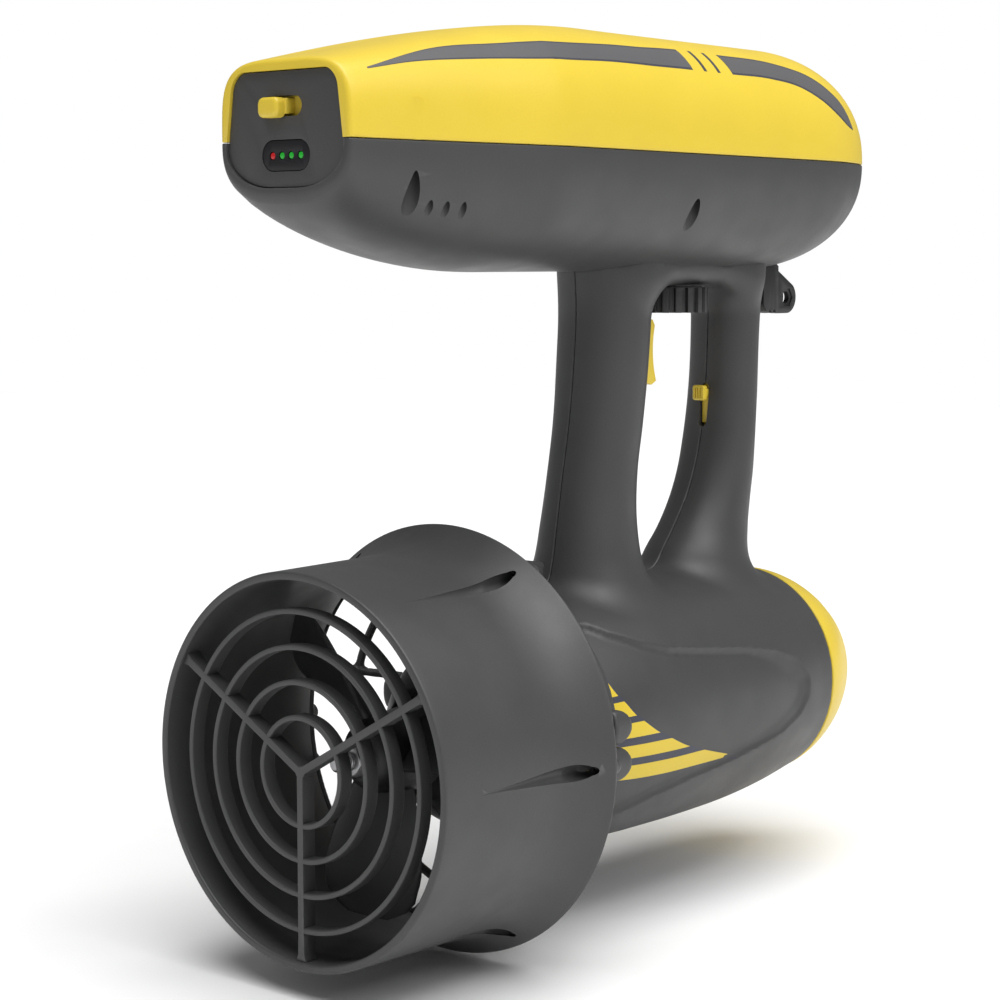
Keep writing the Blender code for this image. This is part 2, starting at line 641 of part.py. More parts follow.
def make_motor():
    can = [(MOTOR_REAR, 6.3), (MOTOR_REAR, MOTOR_R), (MOTOR_FRONT, MOTOR_R), (MOTOR_FRONT, 6.3),
           (MOTOR_FRONT - 3, 6.3), (MOTOR_FRONT - 3, 21.8), (MOTOR_REAR + 3, 21.8), (MOTOR_REAR + 3, 6.3)]
    turned("motor_can", can, STEEL, steps=24)
    tube("motor_stator", "X", (0, 0, 0), 106.0, 148.0, 16.0, 21.5, COPPER, 24)
    tube("motor_rotor", "X", (0, 0, 0), 104.0, 150.0, SHAFT_R + GAP, 15.2, STEEL, 24)
    tube("rear_bearing", "X", (0, 0, 0), MOTOR_REAR - 0.5, MOTOR_REAR + 4, SHAFT_R + GAP, 6.0, CHROME, 20)
    tube("front_bearing", "X", (0, 0, 0), MOTOR_FRONT - 4, MOTOR_FRONT + 0.5, SHAFT_R + GAP, 6.0, CHROME,
         20)
    tube("shaft_seal", "X", (0, 0, 0), BODY_REAR + 0.5, BODY_REAR + 6, SHAFT_R + GAP, 8.0, RUBBER, 24)
    profile = [(SHAFT_REAR, 0), (SHAFT_REAR, 2.3), (SHAFT_REAR + 0.8, SHAFT_R), (SHAFT_FRONT, SHAFT_R),
               (SHAFT_FRONT, 0)]
    turned("motor_shaft", profile, CHROME, steps=16)


def make_controller():
    board = block("motor_controller", (192.0, -24.0, 12.0), (252.0, 24.0, 14.0), BOARD)
    for low, high in (((196.0, -18.0, 13.0), (216.0, 18.0, 20.0)),
                      ((226.0, -16.0, 13.0), (246.0, -2.0, 24.0)),
                      ((226.0, 3.0, 13.0), (244.0, 17.0, 18.0))):
        add(board, block("board_component", low, high))


def make_main_cable():
    """Runs from the controller up the rear strut into the pod, on one smooth line."""
    route = [(206.0, 22.6), (204.0, 28.0), (194.0, 33.0), (176.0, 34.0), (162.0, 40.0), (157.8, 54.0),
             (156.5, 80.0), (158.0, 110.0), (158.5, 150.0), (158.5, 178.0), (158.5, 196.0)]
    curve = bpy.data.curves.new("main_cable", "CURVE")
    curve.dimensions = "3D"
    curve.bevel_depth = 2.1 * MM
    curve.bevel_resolution = 2
    curve.use_fill_caps = True
    spline = curve.splines.new("POLY")
    points = smooth_line(route, 3)
    spline.points.add(len(points) - 1)
    for point, (x, z) in zip(spline.points, points):
        point.co = (x * MM, 0.0, z * MM, 1.0)
    curve.materials.append(RUBBER)
    obj = bpy.data.objects.new("main_cable", curve)
    bpy.context.collection.objects.link(obj)


def smooth_line(points, steps):
    """A Catmull-Rom line through the points."""
    line = []
    padded = [points[0]] + list(points) + [points[-1]]
    for a, b, c, d in zip(padded, padded[1:], padded[2:], padded[3:]):
        for i in range(steps):
            t = i / steps
            line.append(tuple(
                0.5 * (2 * q + (r - p) * t + (2 * p - 5 * q + 4 * r - s) * t * t
                       + (3 * q - p - 3 * r + s) * t ** 3)
                for p, q, r, s in zip(a, b, c, d)))
    return line + [points[-1]]


def blade_ring(radius, chord, thickness, pitch):
    """One section of a blade that stands along +Z, turned by its pitch about Z."""
    middle = (PROP_REAR + PROP_FRONT) / 2
    turn = math.radians(pitch)
    ring = []
    for along, off in ((-0.5, 0.0), (-0.25, 0.5), (0.1, 0.6), (0.5, 0.0), (0.1, -0.4), (-0.25, -0.4)):
        c, t = along * chord, off * thickness
        x = middle + c * math.sin(turn) + t * math.cos(turn)
        y = c * math.cos(turn) - t * math.sin(turn)
        ring.append((x, y, math.sqrt(max(radius ** 2 - y ** 2, 0.0))))
    return ring


def make_propeller():
    hub = [(PROP_REAR, SHAFT_R + GAP), (PROP_REAR, 9.0), (PROP_REAR + 3, 12.0), (PROP_REAR + 8, PROP_HUB_R),
           (PROP_FRONT, PROP_HUB_R + 1.5), (PROP_FRONT, SHAFT_R + GAP)]
    propeller = turned("propeller", hub, PLASTIC_BLACK, steps=24)
    sections = ((11.0, 20.0, 4.0, 42.0), (24.0, 27.0, 3.4, 36.0), (38.0, 34.0, 2.8, 30.0),
                (52.0, 36.0, 2.2, 25.0),
                (60.0, 30.0, 1.8, 22.0), (PROP_R, 20.0, 1.4, 21.0))
    for number in range(BLADES):
        blade = loft(f"blade_{number}", [blade_ring(*section) for section in sections])
        blade.rotation_euler.x = math.tau * number / BLADES + math.radians(FIRST_BLADE)
        add(propeller, blade)
    cut(propeller, cylinder("propeller_bore", "X", (0, 0, 0), PROP_REAR - 5, PROP_FRONT + 5, SHAFT_R + GAP,
                            steps=16))


def make_propeller_nut():
    nut = prism("propeller_nut", arc((0, 0), 6.4, 0, 300, 5), "X", PROP_REAR - 7, PROP_REAR - GAP, CHROME)
    cut(nut, cylinder("nut_bore", "X", (0, 0, 0), PROP_REAR - 12, PROP_REAR + 2, SHAFT_R + GAP, steps=16))


# ---------------------------------------------------------------- duct


def flare(x, start, radius, rim):
    """Outer or inner duct radius: a cylinder that curls outwards over the last stretch."""
    u = max(x - (DUCT_FRONT - FLARE_LENGTH), 0.0) / FLARE_LENGTH
    return start + (radius - start) * max(x, 0.0) / DUCT_FRONT + (rim - radius) * u ** 2.4


def make_duct():
    stations = (DUCT_REAR, 25, 47, 56, 64, 70, DUCT_FRONT)
    outer = [(x, flare(x, DUCT_R, 71.2, FLARE_R)) for x in stations]
    inner = [(x, flare(x, DUCT_BORE, 67.4, 71.6)) for x in stations]
    duct = turned("duct", outer + inner[::-1], DARK, steps=36)
    for number in range(SCREW_COUNT):
        turn = math.tau * number / SCREW_COUNT
        for cutter in screw_channel():
            cutter.rotation_euler.x = turn
            cut(duct, cutter, solver=SOLID)


def screw_channel():
    """A tapering groove along the duct at +Y, with the screw's round bore at its deep end."""
    rings = []
    for x, radius, centre in ((12, 0.3, 70.6), (30, 1.2, 71.6), (50, 2.4, 73.2), (62, 3.1, 74.7),
                              (72, 3.2, CHANNEL_R)):
        turns = [math.tau * i / 8 for i in range(8)]
        rings.append([(x, centre + radius * math.cos(t), radius * math.sin(t)) for t in turns])
    return loft("screw_channel", rings), cylinder(
        "screw_hole", "X", (0, CHANNEL_R, 0), 66, 80, 1.6, steps=8, origin=(0, 0, 0))


def make_duct_screws():
    for number in range(SCREW_COUNT):
        turn = math.tau * number / SCREW_COUNT
        centre = (0.0, CHANNEL_R * math.cos(turn), CHANNEL_R * math.sin(turn))
        profile = [(69.0, 0), (69.0, 2.6), (71.7, 2.6), (71.7, 1.3), (80.0, 1.3), (80.0, 0)]
        turned(f"duct_screw_{number + 1}", profile, STEEL, "X", centre, 8)


def make_intake_guard():
    """A rim behind the flare, ribs that slope in to the body, a collar round it, side lugs and a top fin."""
    rear = DUCT_FRONT + GAP
    rim = [(rear, GUARD_BORE), (rear, GUARD_R), (rear + 5, GUARD_R - 0.6), (rear + 5, GUARD_BORE)]
    guard = turned("intake_guard", rim, DARK, steps=24)
    collar = [(COLLAR_FRONT - 7, 46.5), (COLLAR_FRONT - 7, COLLAR_R), (COLLAR_FRONT - 1.5, COLLAR_R),
              (COLLAR_FRONT, COLLAR_R - 1.5), (COLLAR_FRONT, 46.8)]
    add(guard, turned("guard_collar", collar, steps=24))
    outline = [(rear + 1, 77.0), (rear + 1, GUARD_BORE), (COLLAR_FRONT - 6, 47.4),
               (COLLAR_FRONT - 4, COLLAR_R - 0.5),
               (rear + 18, 63.4), (rear + 4, 74.8)]
    for number in range(RIB_COUNT):
        rib = prism(f"guard_rib_{number}", outline, "Y", -RIB_HALF, RIB_HALF)
        rib.rotation_euler.x = math.tau * (number + 0.5) / RIB_COUNT
        add(guard, rib)
    hoop = [(rear + 15, HOOP_BORE), (rear + 15, HOOP_BORE + 3), (rear + 18, HOOP_BORE + 3),
            (rear + 18, HOOP_BORE)]
    add(guard, turned("guard_hoop", hoop, steps=24))
    for side, name in ((1, "left"), (-1, "right")):
        low, high = sorted((side * 47.0, side * LUG_REACH))
        for z in (LUG_HEIGHT, -LUG_HEIGHT):
            centre = (COLLAR_FRONT - LUG_R - 1, 0, z)
            add(guard, cylinder(f"lug_{name}", "Y", centre, low, high, LUG_R, steps=12, origin=(0, 0, 0)))
    fin = [(COLLAR_FRONT - 4, 49.0), (COLLAR_FRONT - 4, 59.0), (COLLAR_FRONT + 14, 61.0),
           (COLLAR_FRONT + 17, 60.0), (COLLAR_FRONT + 17, 52.0), (COLLAR_FRONT + 2, 52.0)]
    add(guard, prism("guard_fin", fin, "Y", -RIB_HALF, RIB_HALF))
    for number in range(SCREW_COUNT):
        hole = cylinder("guard_thread", "X", (0, CHANNEL_R, 0), rear - 2, rear + 4.6, 1.6, steps=8,
                        origin=(0, 0, 0))
        hole.rotation_euler.x = math.tau * number / SCREW_COUNT
        cut(guard, hole)


def make_outlet_grille():
    rings = []
    for number, radius in enumerate(GRILLE_RINGS):
        low, high = radius - GRILLE_BAR / 2, radius + GRILLE_BAR / 2
        profile = [(0.0, low), (0.0, high), (GRILLE_DEPTH, high), (GRILLE_DEPTH, low)]
        rings.append(turned(f"grille_ring_{number}", profile, steps=18 + 3 * number))
    grille = cylinder("outlet_grille", "X", (0, 0, 0), 0.0, GRILLE_DEPTH, 4.2, DARK, steps=18)
    for number in range(3):
        spoke = block(f"grille_spoke_{number}", (0.0, 2.0, -1.5),
                      (GRILLE_DEPTH, DUCT_BORE - GAP - 0.1, 1.5))
        spoke.rotation_euler.x = math.radians(30 + 120 * number)
        add(grille, spoke)
    add(grille, *rings)


# ---------------------------------------------------------------- controls


def make_trigger():
    x, z = TRIGGER_PIVOT
    outline = arc((x, z), 4.2, 60, 230, 8) + [
        (x + 4.0, z - 6.0), (x + 6.3, z - 14.0), (x + 7.0, z - 21.5), (x + 11.5, z - 22.6),
        (x + 14.6, z - 21.0),
        (x + 13.0, z - 16.0), (x + 12.3, z - 10.0), (x + 12.5, z - 4.0), (x + 13.6, z + 1.0),
        (x + 12.0, z + 3.4),
        (x + 7.0, z + 4.0),
    ]
    origin = (x, 0.0, z)
    trigger = prism("trigger", outline, "Y", -TRIGGER_HALF_WIDTH, TRIGGER_HALF_WIDTH, YELLOW, origin)
    cut(trigger, cylinder("trigger_bore", "Y", origin, -10, 10, 1.8, steps=12))
    cylinder("trigger_pin", "Y", origin, -12.6, 12.6, 1.5, STEEL, 12)


def make_trigger_spring():
    """Two turns of wire round the pin, between the trigger and the left-hand post."""
    curve = bpy.data.curves.new("trigger_spring", "CURVE")
    curve.dimensions = "3D"
    curve.bevel_depth = 0.4 * MM
    curve.bevel_resolution = 1
    curve.use_fill_caps = True
    spline = curve.splines.new("POLY")
    turns, per_turn = 2, 12
    spline.points.add(turns * per_turn)
    for number, point in enumerate(spline.points):
        turn = math.tau * number / per_turn
        y = TRIGGER_HALF_WIDTH + 0.8 + 1.0 * number / per_turn
        point.co = (SPRING_R * math.cos(turn) * MM, y * MM, SPRING_R * math.sin(turn) * MM, 1.0)
    curve.materials.append(STEEL)
    obj = bpy.data.objects.new("trigger_spring", curve)
    obj.location = Vector((TRIGGER_PIVOT[0], 0.0, TRIGGER_PIVOT[1])) * MM
    bpy.context.collection.objects.link(obj)


def make_switches():
    switch = block("trigger_switch", (164.0, -4.0, 126.0), (173.0, 4.0, 139.0), PLASTIC_BLACK)
    add(switch, cylinder("switch_plunger", "X", (0, 0, 131.0), 172.0, 176.0, 1.5, steps=10))
    block("selector_switch", (243.0, -4.5, 104.0), (252.0, 4.5, 122.0), PLASTIC_BLACK, 0.6)


def make_speed_selector():
    """A thumb slider: a knob outside the strut, a neck through the slot and a plate behind it."""
    top = SELECTOR_TOP
    origin = (SELECTOR_FACE, 0.0, top - 3.1)
    selector = block("speed_selector", (227.8, -3.6, top - 6.3), (SELECTOR_FACE - 0.6, 3.6, top), YELLOW,
                     1.0, origin)
    add(selector, block("selector_neck", (234.0, -1.7, top - 4.8), (240.0, 1.7, top - 1.6)))
    low = top - 6.3 - 12.0
    add(selector, block("selector_plate", (SELECTOR_FACE + 2.0, -4.6, low),
                        (SELECTOR_FACE + 4.2, 4.6, top + 2.0)))


def make_pod_lock_knob():
    """A gear-like hand knob with square ribs."""
    ribs = 20
    outline = []
    for number in range(ribs):
        middle = 360 * number / ribs
        for offset, radius in ((-5.4, KNOB_R - 1.4), (-4.0, KNOB_R), (4.0, KNOB_R), (5.4, KNOB_R - 1.4)):
            turn = math.radians(middle + offset)
            outline.append((KNOB_X + radius * math.cos(turn), radius * math.sin(turn)))
    knob = prism("pod_lock_knob", outline, "Z", KNOB_LOW, KNOB_HIGH, DARK, (KNOB_X, 0.0, KNOB_LOW))
    cut(knob, cylinder("knob_bore", "Z", (KNOB_X, 0, 0), KNOB_LOW + 2, KNOB_HIGH + 3, STUD_R + GAP,
                       steps=20))
    profile = [(KNOB_LOW + 2.4, 0), (KNOB_LOW + 2.4, STUD_R), (184.0, STUD_R), (185.5, STUD_R - 1.2),
               (185.5, 0)]
    turned("knob_stud", profile, STEEL, "Z", (KNOB_X, 0, 0), 20)


clear_scene()
YELLOW = material("yellow_plastic", (0.80, 0.55, 0.05), 0.38)
DARK = material("dark_grey_plastic", (0.075, 0.075, 0.077), 0.48)
PLASTIC_BLACK = material("black_plastic", (0.02, 0.02, 0.022), 0.45)
RUBBER = material("black_rubber", (0.025, 0.025, 0.025), 0.8)
STEEL = material("stainless_steel", (0.55, 0.55, 0.56), 0.35, 1.0)
CHROME = material("bright_steel", (0.75, 0.75, 0.76), 0.18, 1.0)
COPPER = material("copper_windings", (0.72, 0.35, 0.18), 0.4, 1.0)
CELL_WRAP = material("cell_wrap", (0.05, 0.25, 0.45), 0.4)
BOARD = material("circuit_board", (0.02, 0.16, 0.07), 0.5)
LENS = material("smoked_lens", (0.03, 0.03, 0.035), 0.15)
RED = material("red_led", (0.8, 0.03, 0.02), 0.3)
GREEN = material("green_led", (0.05, 0.7, 0.1), 0.3)

make_pod_top_cover()
make_pod_lower_shell()
make_pod_seam_gasket()
make_pod_screws()
make_camera_mount()
make_battery_end_cap()
make_indicator()
make_battery_latch()
make_battery_tray()
make_battery_cells()
make_battery_gasket()
housing_half("housing_right", -1)
housing_half("housing_left", 1)
make_housing_screws()
make_nose_cap()
make_nose_gasket()
make_nose_screws()
make_motor()
make_controller()
make_main_cable()
make_propeller()
make_propeller_nut()
make_duct()
make_duct_screws()
make_intake_guard()
make_outlet_grille()
make_trigger()
make_trigger_spring()
make_switches()
make_speed_selector()
make_pod_lock_knob()
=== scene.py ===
import math

import bmesh
import bpy
import numpy as np
from mathutils import Matrix, Vector


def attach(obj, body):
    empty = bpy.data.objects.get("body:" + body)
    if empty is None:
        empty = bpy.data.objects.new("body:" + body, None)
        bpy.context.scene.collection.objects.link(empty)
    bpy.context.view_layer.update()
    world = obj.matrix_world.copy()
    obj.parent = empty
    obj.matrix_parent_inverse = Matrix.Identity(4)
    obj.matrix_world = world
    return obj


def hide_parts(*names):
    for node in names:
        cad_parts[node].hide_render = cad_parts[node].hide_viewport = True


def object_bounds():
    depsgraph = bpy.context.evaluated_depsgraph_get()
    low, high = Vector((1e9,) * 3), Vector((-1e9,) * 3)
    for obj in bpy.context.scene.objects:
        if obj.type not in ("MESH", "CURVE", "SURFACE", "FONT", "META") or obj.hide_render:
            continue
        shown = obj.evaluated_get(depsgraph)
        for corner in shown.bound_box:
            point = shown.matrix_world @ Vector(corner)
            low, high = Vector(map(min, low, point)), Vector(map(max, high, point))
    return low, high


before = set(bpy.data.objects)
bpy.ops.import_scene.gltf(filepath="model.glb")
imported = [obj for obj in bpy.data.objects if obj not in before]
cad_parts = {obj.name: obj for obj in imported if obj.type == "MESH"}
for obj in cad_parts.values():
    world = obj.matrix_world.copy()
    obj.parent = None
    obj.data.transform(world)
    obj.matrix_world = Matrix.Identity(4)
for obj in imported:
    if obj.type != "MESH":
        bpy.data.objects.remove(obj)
CAD_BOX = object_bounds()

# Lengths are in millimetres until a mesh is made. +X is the way the scooter travels and +Z is up.
MM = 0.001
STEPS = 160
SKIN = 1.3
FINE_SKIN = 0.75
GAP = 0.3

# Sizes shared with the CAD model
BODY_REAR, NOSE_JOINT, NOSE_LENGTH, NOSE_R = 64.0, 269.1, 57.0, 44.6
DUCT_REAR, DUCT_FRONT, DUCT_R, DUCT_BORE = -1.7, 75.7, 70.0, 67.0
FLARE_R, FLARE_LENGTH, CHANNEL_R = 80.1, 30.0, 75.0
SHAFT_R, PROP_REAR, PROP_FRONT, PROP_R, FIRST_BLADE = 3.0, 31.0, 58.0, 63.5, -50.0
POD_REAR, POD_TIP, POD_NOSE, POD_SPLIT, POD_WALL = -4.7, 326.0, 252.0, 216.0, 3.0
CAP_REAR, CAP_FRONT, CAP_LOW, CAP_HIGH, CAP_HALF = -3.7, 5.0, 200.5, 239.0, 27.8
LATCH_Z, LATCH_MIDDLE, LED_Z = 227.4, 1.7, 211.0
TRIGGER_X, TRIGGER_Z, TRIGGER_HALF = 180.0, 149.0, 6.5
SELECTOR_TOP, SELECTOR_FACE = 124.3, 236.0
KNOB_X, KNOB_R, KNOB_LOW, KNOB_HIGH, STUD_R = 209.5, 17.0, 155.0, 165.0, 4.0
BRIDGE_UNDER = 166.0
POD_SCREWS = ((24.0, 31.2, 207.0), (171.0, 40.5, 202.0))
HOUSING_SCREWS = ((171.0, 95.0, 11.5), (248.0, 146.0, 10.0), (235.0, -33.0, 29.0), (140.0, -36.0, 26.0))
NOSE_SCREWS, NOSE_SCREW_R = (133.0, 253.0, 13.0), 36.5

BODY_OUTLINE = (
    (64, 20), (74, 29.5), (90, 38), (110, 44.5), (130, 48.5), (150, 50.4), (170, 50.8), (200, 50.7),
    (220, 50.1), (245, 48), (268.8, 44.6),
)
REAR_STRUT = (
    (36, 160, 29, 27), (48, 159.5, 25.5, 24), (60, 159.3, 22, 20.5), (73, 159.6, 20, 18.6),
    (94, 162, 18.7, 17.2),
    (111, 165, 18.4, 17.4), (137, 168, 18.2, 18.2), (154, 169.2, 18.2, 18.4), (180, 168.5, 19, 18.8),
)
FRONT_STRUT = (
    (36, 233, 26, 26), (46, 231, 27, 23), (55, 231.5, 25, 20), (65, 236, 21.5, 17.6), (77, 241, 17.6, 16.6),
    (89, 244.8, 15.3, 16.2), (101, 247, 13.6, 16), (118, 249.2, 12.9, 15.4), (151, 251, 12.7, 15.2),
    (180, 252, 14, 16.5),
)


# ---------------------------------------------------------------- numbers


def through(table, at):
    """The smooth curve through a table's rows, read at one or many places along its first column."""
    rows = np.array(table, float)
    places, heights = rows[:, 0], rows[:, 1:]
    slopes = np.gradient(heights, places, axis=0)
    at = np.asarray(at, float)
    low = np.clip(np.searchsorted(places, at) - 1, 0, len(places) - 2)
    width = places[low + 1] - places[low]
    t = np.clip((at - places[low]) / width, 0, 1)[..., None]
    width = width[..., None]
    return ((2 * t**3 - 3 * t**2 + 1) * heights[low] + (t**3 - 2 * t**2 + t) * width * slopes[low]
            + (3 * t**2 - 2 * t**3) * heights[low + 1] + (t**3 - t**2) * width * slopes[low + 1])


def smoothstep(t):
    t = np.clip(t, 0, 1)
    return t * t * (3 - 2 * t)


def joined(a, b, blend):
    """The nearer of two distances, with a fillet of about the blend's size where they meet."""
    near = np.maximum(blend - np.abs(a - b), 0) / blend
    return np.minimum(a, b) - near * near * blend / 4


def trimmed(a, b, blend):
    return -joined(-a, -b, blend)


def slab(across, along, low, high, edge):
    """Distance to a rectangle with round corners, given by its low and high corners."""
    u = np.abs(across - (low[0] + high[0]) / 2) - (high[0] - low[0]) / 2 + edge
    v = np.abs(along - (low[1] + high[1]) / 2) - (high[1] - low[1]) / 2 + edge
    return np.hypot(np.maximum(u, 0), np.maximum(v, 0)) + np.minimum(np.maximum(u, v), 0) - edge


def polygon_distance(x, y, corners):
    """Distance to a closed outline, negative inside it."""
    nearest = np.full(np.shape(x), 1e9)
    inside = np.zeros(np.shape(x), bool)
    for (ax, ay), (bx, by) in zip(corners, corners[1:] + corners[:1]):
        t = np.clip(((x - ax) * (bx - ax) + (y - ay) * (by - ay)) / ((bx - ax) ** 2 + (by - ay) ** 2), 0, 1)
        nearest = np.minimum(nearest, np.hypot(x - ax - t * (bx - ax), y - ay - t * (by - ay)))
        if ay != by:
            crossing = (ay > y) != (by > y)
            inside ^= crossing & (x < (bx - ax) * (y - ay) / (by - ay) + ax)
    return np.where(inside, -nearest, nearest)


def rounded(corners, radius, steps=5):
    """A closed outline whose corners are small arcs."""
    outline = []
    for i, corner in enumerate(corners):
        here = Vector(corner[:2])
        back = Vector(corners[i - 1][:2]) - here
        ahead = Vector(corners[(i + 1) % len(corners)][:2]) - here
        size = corner[2] if len(corner) > 2 else radius
        angle = back.angle(ahead)
        if size <= 0 or angle > math.radians(170):
            outline.append(tuple(here))
            continue
        reach = min(size / math.tan(angle / 2), 0.48 * back.length, 0.48 * ahead.length)
        start, end = here + back.normalized() * reach, here + ahead.normalized() * reach
        for step in range(steps + 1):
            t = step / steps
            outline.append(tuple(start * (1 - t) ** 2 + here * 2 * t * (1 - t) + end * t * t))
    return outline


def arc(centre, radius, start, end, steps):
    turns = [math.radians(start + (end - start) * i / steps) for i in range(steps + 1)]
    return [(centre[0] + radius * math.cos(t), centre[1] + radius * math.sin(t)) for t in turns]


def round_box(half, low, high, low_r, high_r, steps=10):
    """A rectangle in Y and Z whose lower and upper corners have their own radii."""
    return (arc((half - low_r, low + low_r), low_r, 270, 360, steps)
            + arc((half - high_r, high - high_r), high_r, 0, 90, steps)
            + arc((high_r - half, high - high_r), high_r, 90, 180, steps)
            + arc((low_r - half, low + low_r), low_r, 180, 270, steps))


# ---------------------------------------------------------------- meshes


def mesh_object(name, points, faces):
    mesh = bpy.data.meshes.new(name)
    mesh.from_pydata((np.asarray(points, float) * MM).tolist(), [], [list(map(int, f)) for f in faces])
    obj = bpy.data.objects.new(name, mesh)
    bpy.context.scene.collection.objects.link(obj)
    bm = bmesh.new()
    bm.from_mesh(mesh)
    bmesh.ops.remove_doubles(bm, verts=bm.verts, dist=2e-6)
    bmesh.ops.dissolve_degenerate(bm, edges=bm.edges, dist=1e-7)
    bmesh.ops.recalc_face_normals(bm, faces=bm.faces)
    bm.to_mesh(mesh)
    bm.free()
    return obj


def applied(obj):
    """Turns the object's modifiers into its mesh."""
    graph = bpy.context.evaluated_depsgraph_get()
    made = bpy.data.meshes.new_from_object(obj.evaluated_get(graph))
    obj.modifiers.clear()
    obj.data = made
    return obj


def boolean(obj, others, operation="DIFFERENCE"):
    for other in others:
        change = obj.modifiers.new("boolean", "BOOLEAN")
        change.operation = operation
        change.solver = "MANIFOLD"
        change.object = other
        bpy.context.view_layer.update()
        applied(obj)
        bpy.data.objects.remove(other, do_unlink=True)
    return obj


def bevelled(obj, width, segments=3, angle=32):
    change = obj.modifiers.new("bevel", "BEVEL")
    change.width = width * MM
    change.segments = segments
    change.angle_limit = math.radians(angle)
    change.harden_normals = False
    bpy.context.view_layer.update()
    return applied(obj)


def lofted(name, rings, cap=True):
    """Joins closed rings of equal length, with a flat cap on each end."""
    count = len(rings[0])
    points = [point for ring in rings for point in ring]
    faces = []
    for level in range(len(rings) - 1):
        for i in range(count):
            j = (i + 1) % count
            low, high = level * count, (level + 1) * count
            faces.append((low + i, low + j, high + j, high + i))
    if cap:
        faces.append(tuple(range(count))[::-1])
        faces.append(tuple(range((len(rings) - 1) * count, len(rings) * count)))
    return mesh_object(name, points, faces)


def along(axis, u, v, w):
    """A point with w along the axis and u, v across it."""
    return {"X": (w, u, v), "Y": (u, w, v), "Z": (u, v, w)}[axis]


def turned(name, profile, axis="X", centre=(0, 0, 0), steps=None):
    """Turns a closed profile of (place, radius) points round an axis."""
    steps = steps or STEPS
    rings = []
    for step in range(steps):
        turn = math.tau * step / steps
        ring = [along(axis, r * math.cos(turn), r * math.sin(turn), w) for w, r in profile]
        rings.append([tuple(np.add(point, centre)) for point in ring])
    count = len(profile)
    faces = []
    for step in range(steps):
        for i in range(count):
            j = (i + 1) % count
            a, b = step * count, (step + 1) % steps * count
            faces.append((a + i, a + j, b + j, b + i))
    return mesh_object(name, [point for ring in rings for point in ring], faces)


def prism(name, outline, axis, low, high):
    rings = [[along(axis, u, v, w) for u, v in outline] for w in (low, high)]
    return lofted(name, rings)


def rod(name, axis, centre, low, high, radius, steps=40):
    circle = arc((0, 0), radius, 0, 360 - 360 / steps, steps - 1)
    obj = prism(name, circle, axis, low, high)
    obj.data.transform(Matrix.Translation(Vector(centre) * MM))
    return obj


def block(name, low, high, edge=0.0):
    outline = [(low[1], low[2]), (high[1], low[2]), (high[1], high[2]), (low[1], high[2])]
    obj = prism(name, outline, "X", low[0], high[0])
    return bevelled(obj, edge) if edge else obj


def turn_about_x(obj, degrees):
    obj.data.transform(Matrix.Rotation(math.radians(degrees), 4, "X"))
    return obj


def join(name, objects):
    """One object out of several, without merging their surfaces."""
    bm = bmesh.new()
    for obj in objects:
        bm.from_mesh(obj.data)
        bpy.data.objects.remove(obj, do_unlink=True)
    mesh = bpy.data.meshes.new(name)
    bm.to_mesh(mesh)
    bm.free()
    obj = bpy.data.objects.new(name, mesh)
    bpy.context.scene.collection.objects.link(obj)
    return obj


def slope(distance, points):
    """The distance's gradient at each point."""
    reach = 0.05
    result = np.empty_like(points)
    for axis in range(3):
        ahead, behind = points.copy(), points.copy()
        ahead[:, axis] += reach
        behind[:, axis] -= reach
        result[:, axis] = (distance(*ahead.T) - distance(*behind.T)) / (2 * reach)
    return result


def skin(distance, low, high, step, half=False, detail=None):
    """Meshes the surface where a distance is zero: one point in each crossed cell, then moved onto the surface."""
    axes = [np.arange(a - step, b + 2 * step, step) for a, b in zip(low, high)]
    if half:
        axes[1] = (np.arange(int(high[1] / step) + 3) - 0.5) * step
    value = distance(*np.meshgrid(*axes, indexing="ij"))
    value = np.where(np.abs(value) < 1e-5, 1e-5, value)
    cells = np.array(value.shape) - 1
    totals = np.zeros((4, cells.prod()))
    quads = []
    for axis in range(3):
        lower, upper = [slice(None)] * 3, [slice(None)] * 3
        lower[axis], upper[axis] = slice(0, -1), slice(1, None)
        a, b = value[tuple(lower)], value[tuple(upper)]
        crossed = (a < 0) != (b < 0)
        where = np.argwhere(crossed)
        point = np.stack([axes[n][where[:, n]] for n in range(3)], 1)
        point[:, axis] += step * a[crossed] / (a[crossed] - b[crossed])
        inward = a[crossed] < 0
        corners, usable = [], np.ones(len(where), bool)
        for du, dv in ((0, 0), (-1, 0), (-1, -1), (0, -1)):
            cell = where.copy()
            cell[:, (axis + 1) % 3] += du
            cell[:, (axis + 2) % 3] += dv
            fits = ((cell >= 0) & (cell < cells)).all(1)
            index = np.ravel_multi_index(np.clip(cell, 0, cells - 1).T, cells)
            for n in range(3):
                totals[n] += np.bincount(index[fits], point[fits, n], cells.prod())
            totals[3] += np.bincount(index[fits], minlength=cells.prod())
            corners.append(index)
            usable &= fits
        face = np.stack(corners, 1)
        face[~inward] = face[~inward][:, ::-1]
        quads.append(face[usable])
    used = totals[3] > 0
    points = (totals[:3, used] / totals[3, used]).T
    number = np.cumsum(used) - 1
    faces = number[np.concatenate(quads)]
    surface = detail or distance
    for _ in range(5):
        gradient = slope(surface, points)
        scale = surface(*points.T) / np.maximum((gradient**2).sum(1), 1e-6)
        move = gradient * scale[:, None]
        length = np.linalg.norm(move, axis=1, keepdims=True)
        points -= move * np.minimum(1, 0.6 * step / np.maximum(length, 1e-9))
    return points, faces


def piece(obj, body, mat, *nodes, sharp=38.0):
    """Finishes a visible piece: its material, its shading, the body it moves with and the nodes it stands for."""
    obj.data.materials.clear()
    obj.data.materials.append(mat)
    obj.data.shade_smooth()
    if sharp:
        obj.data.set_sharp_from_angle(angle=math.radians(sharp))
    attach(obj, body)
    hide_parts(*nodes)
    return obj


# ---------------------------------------------------------------- materials


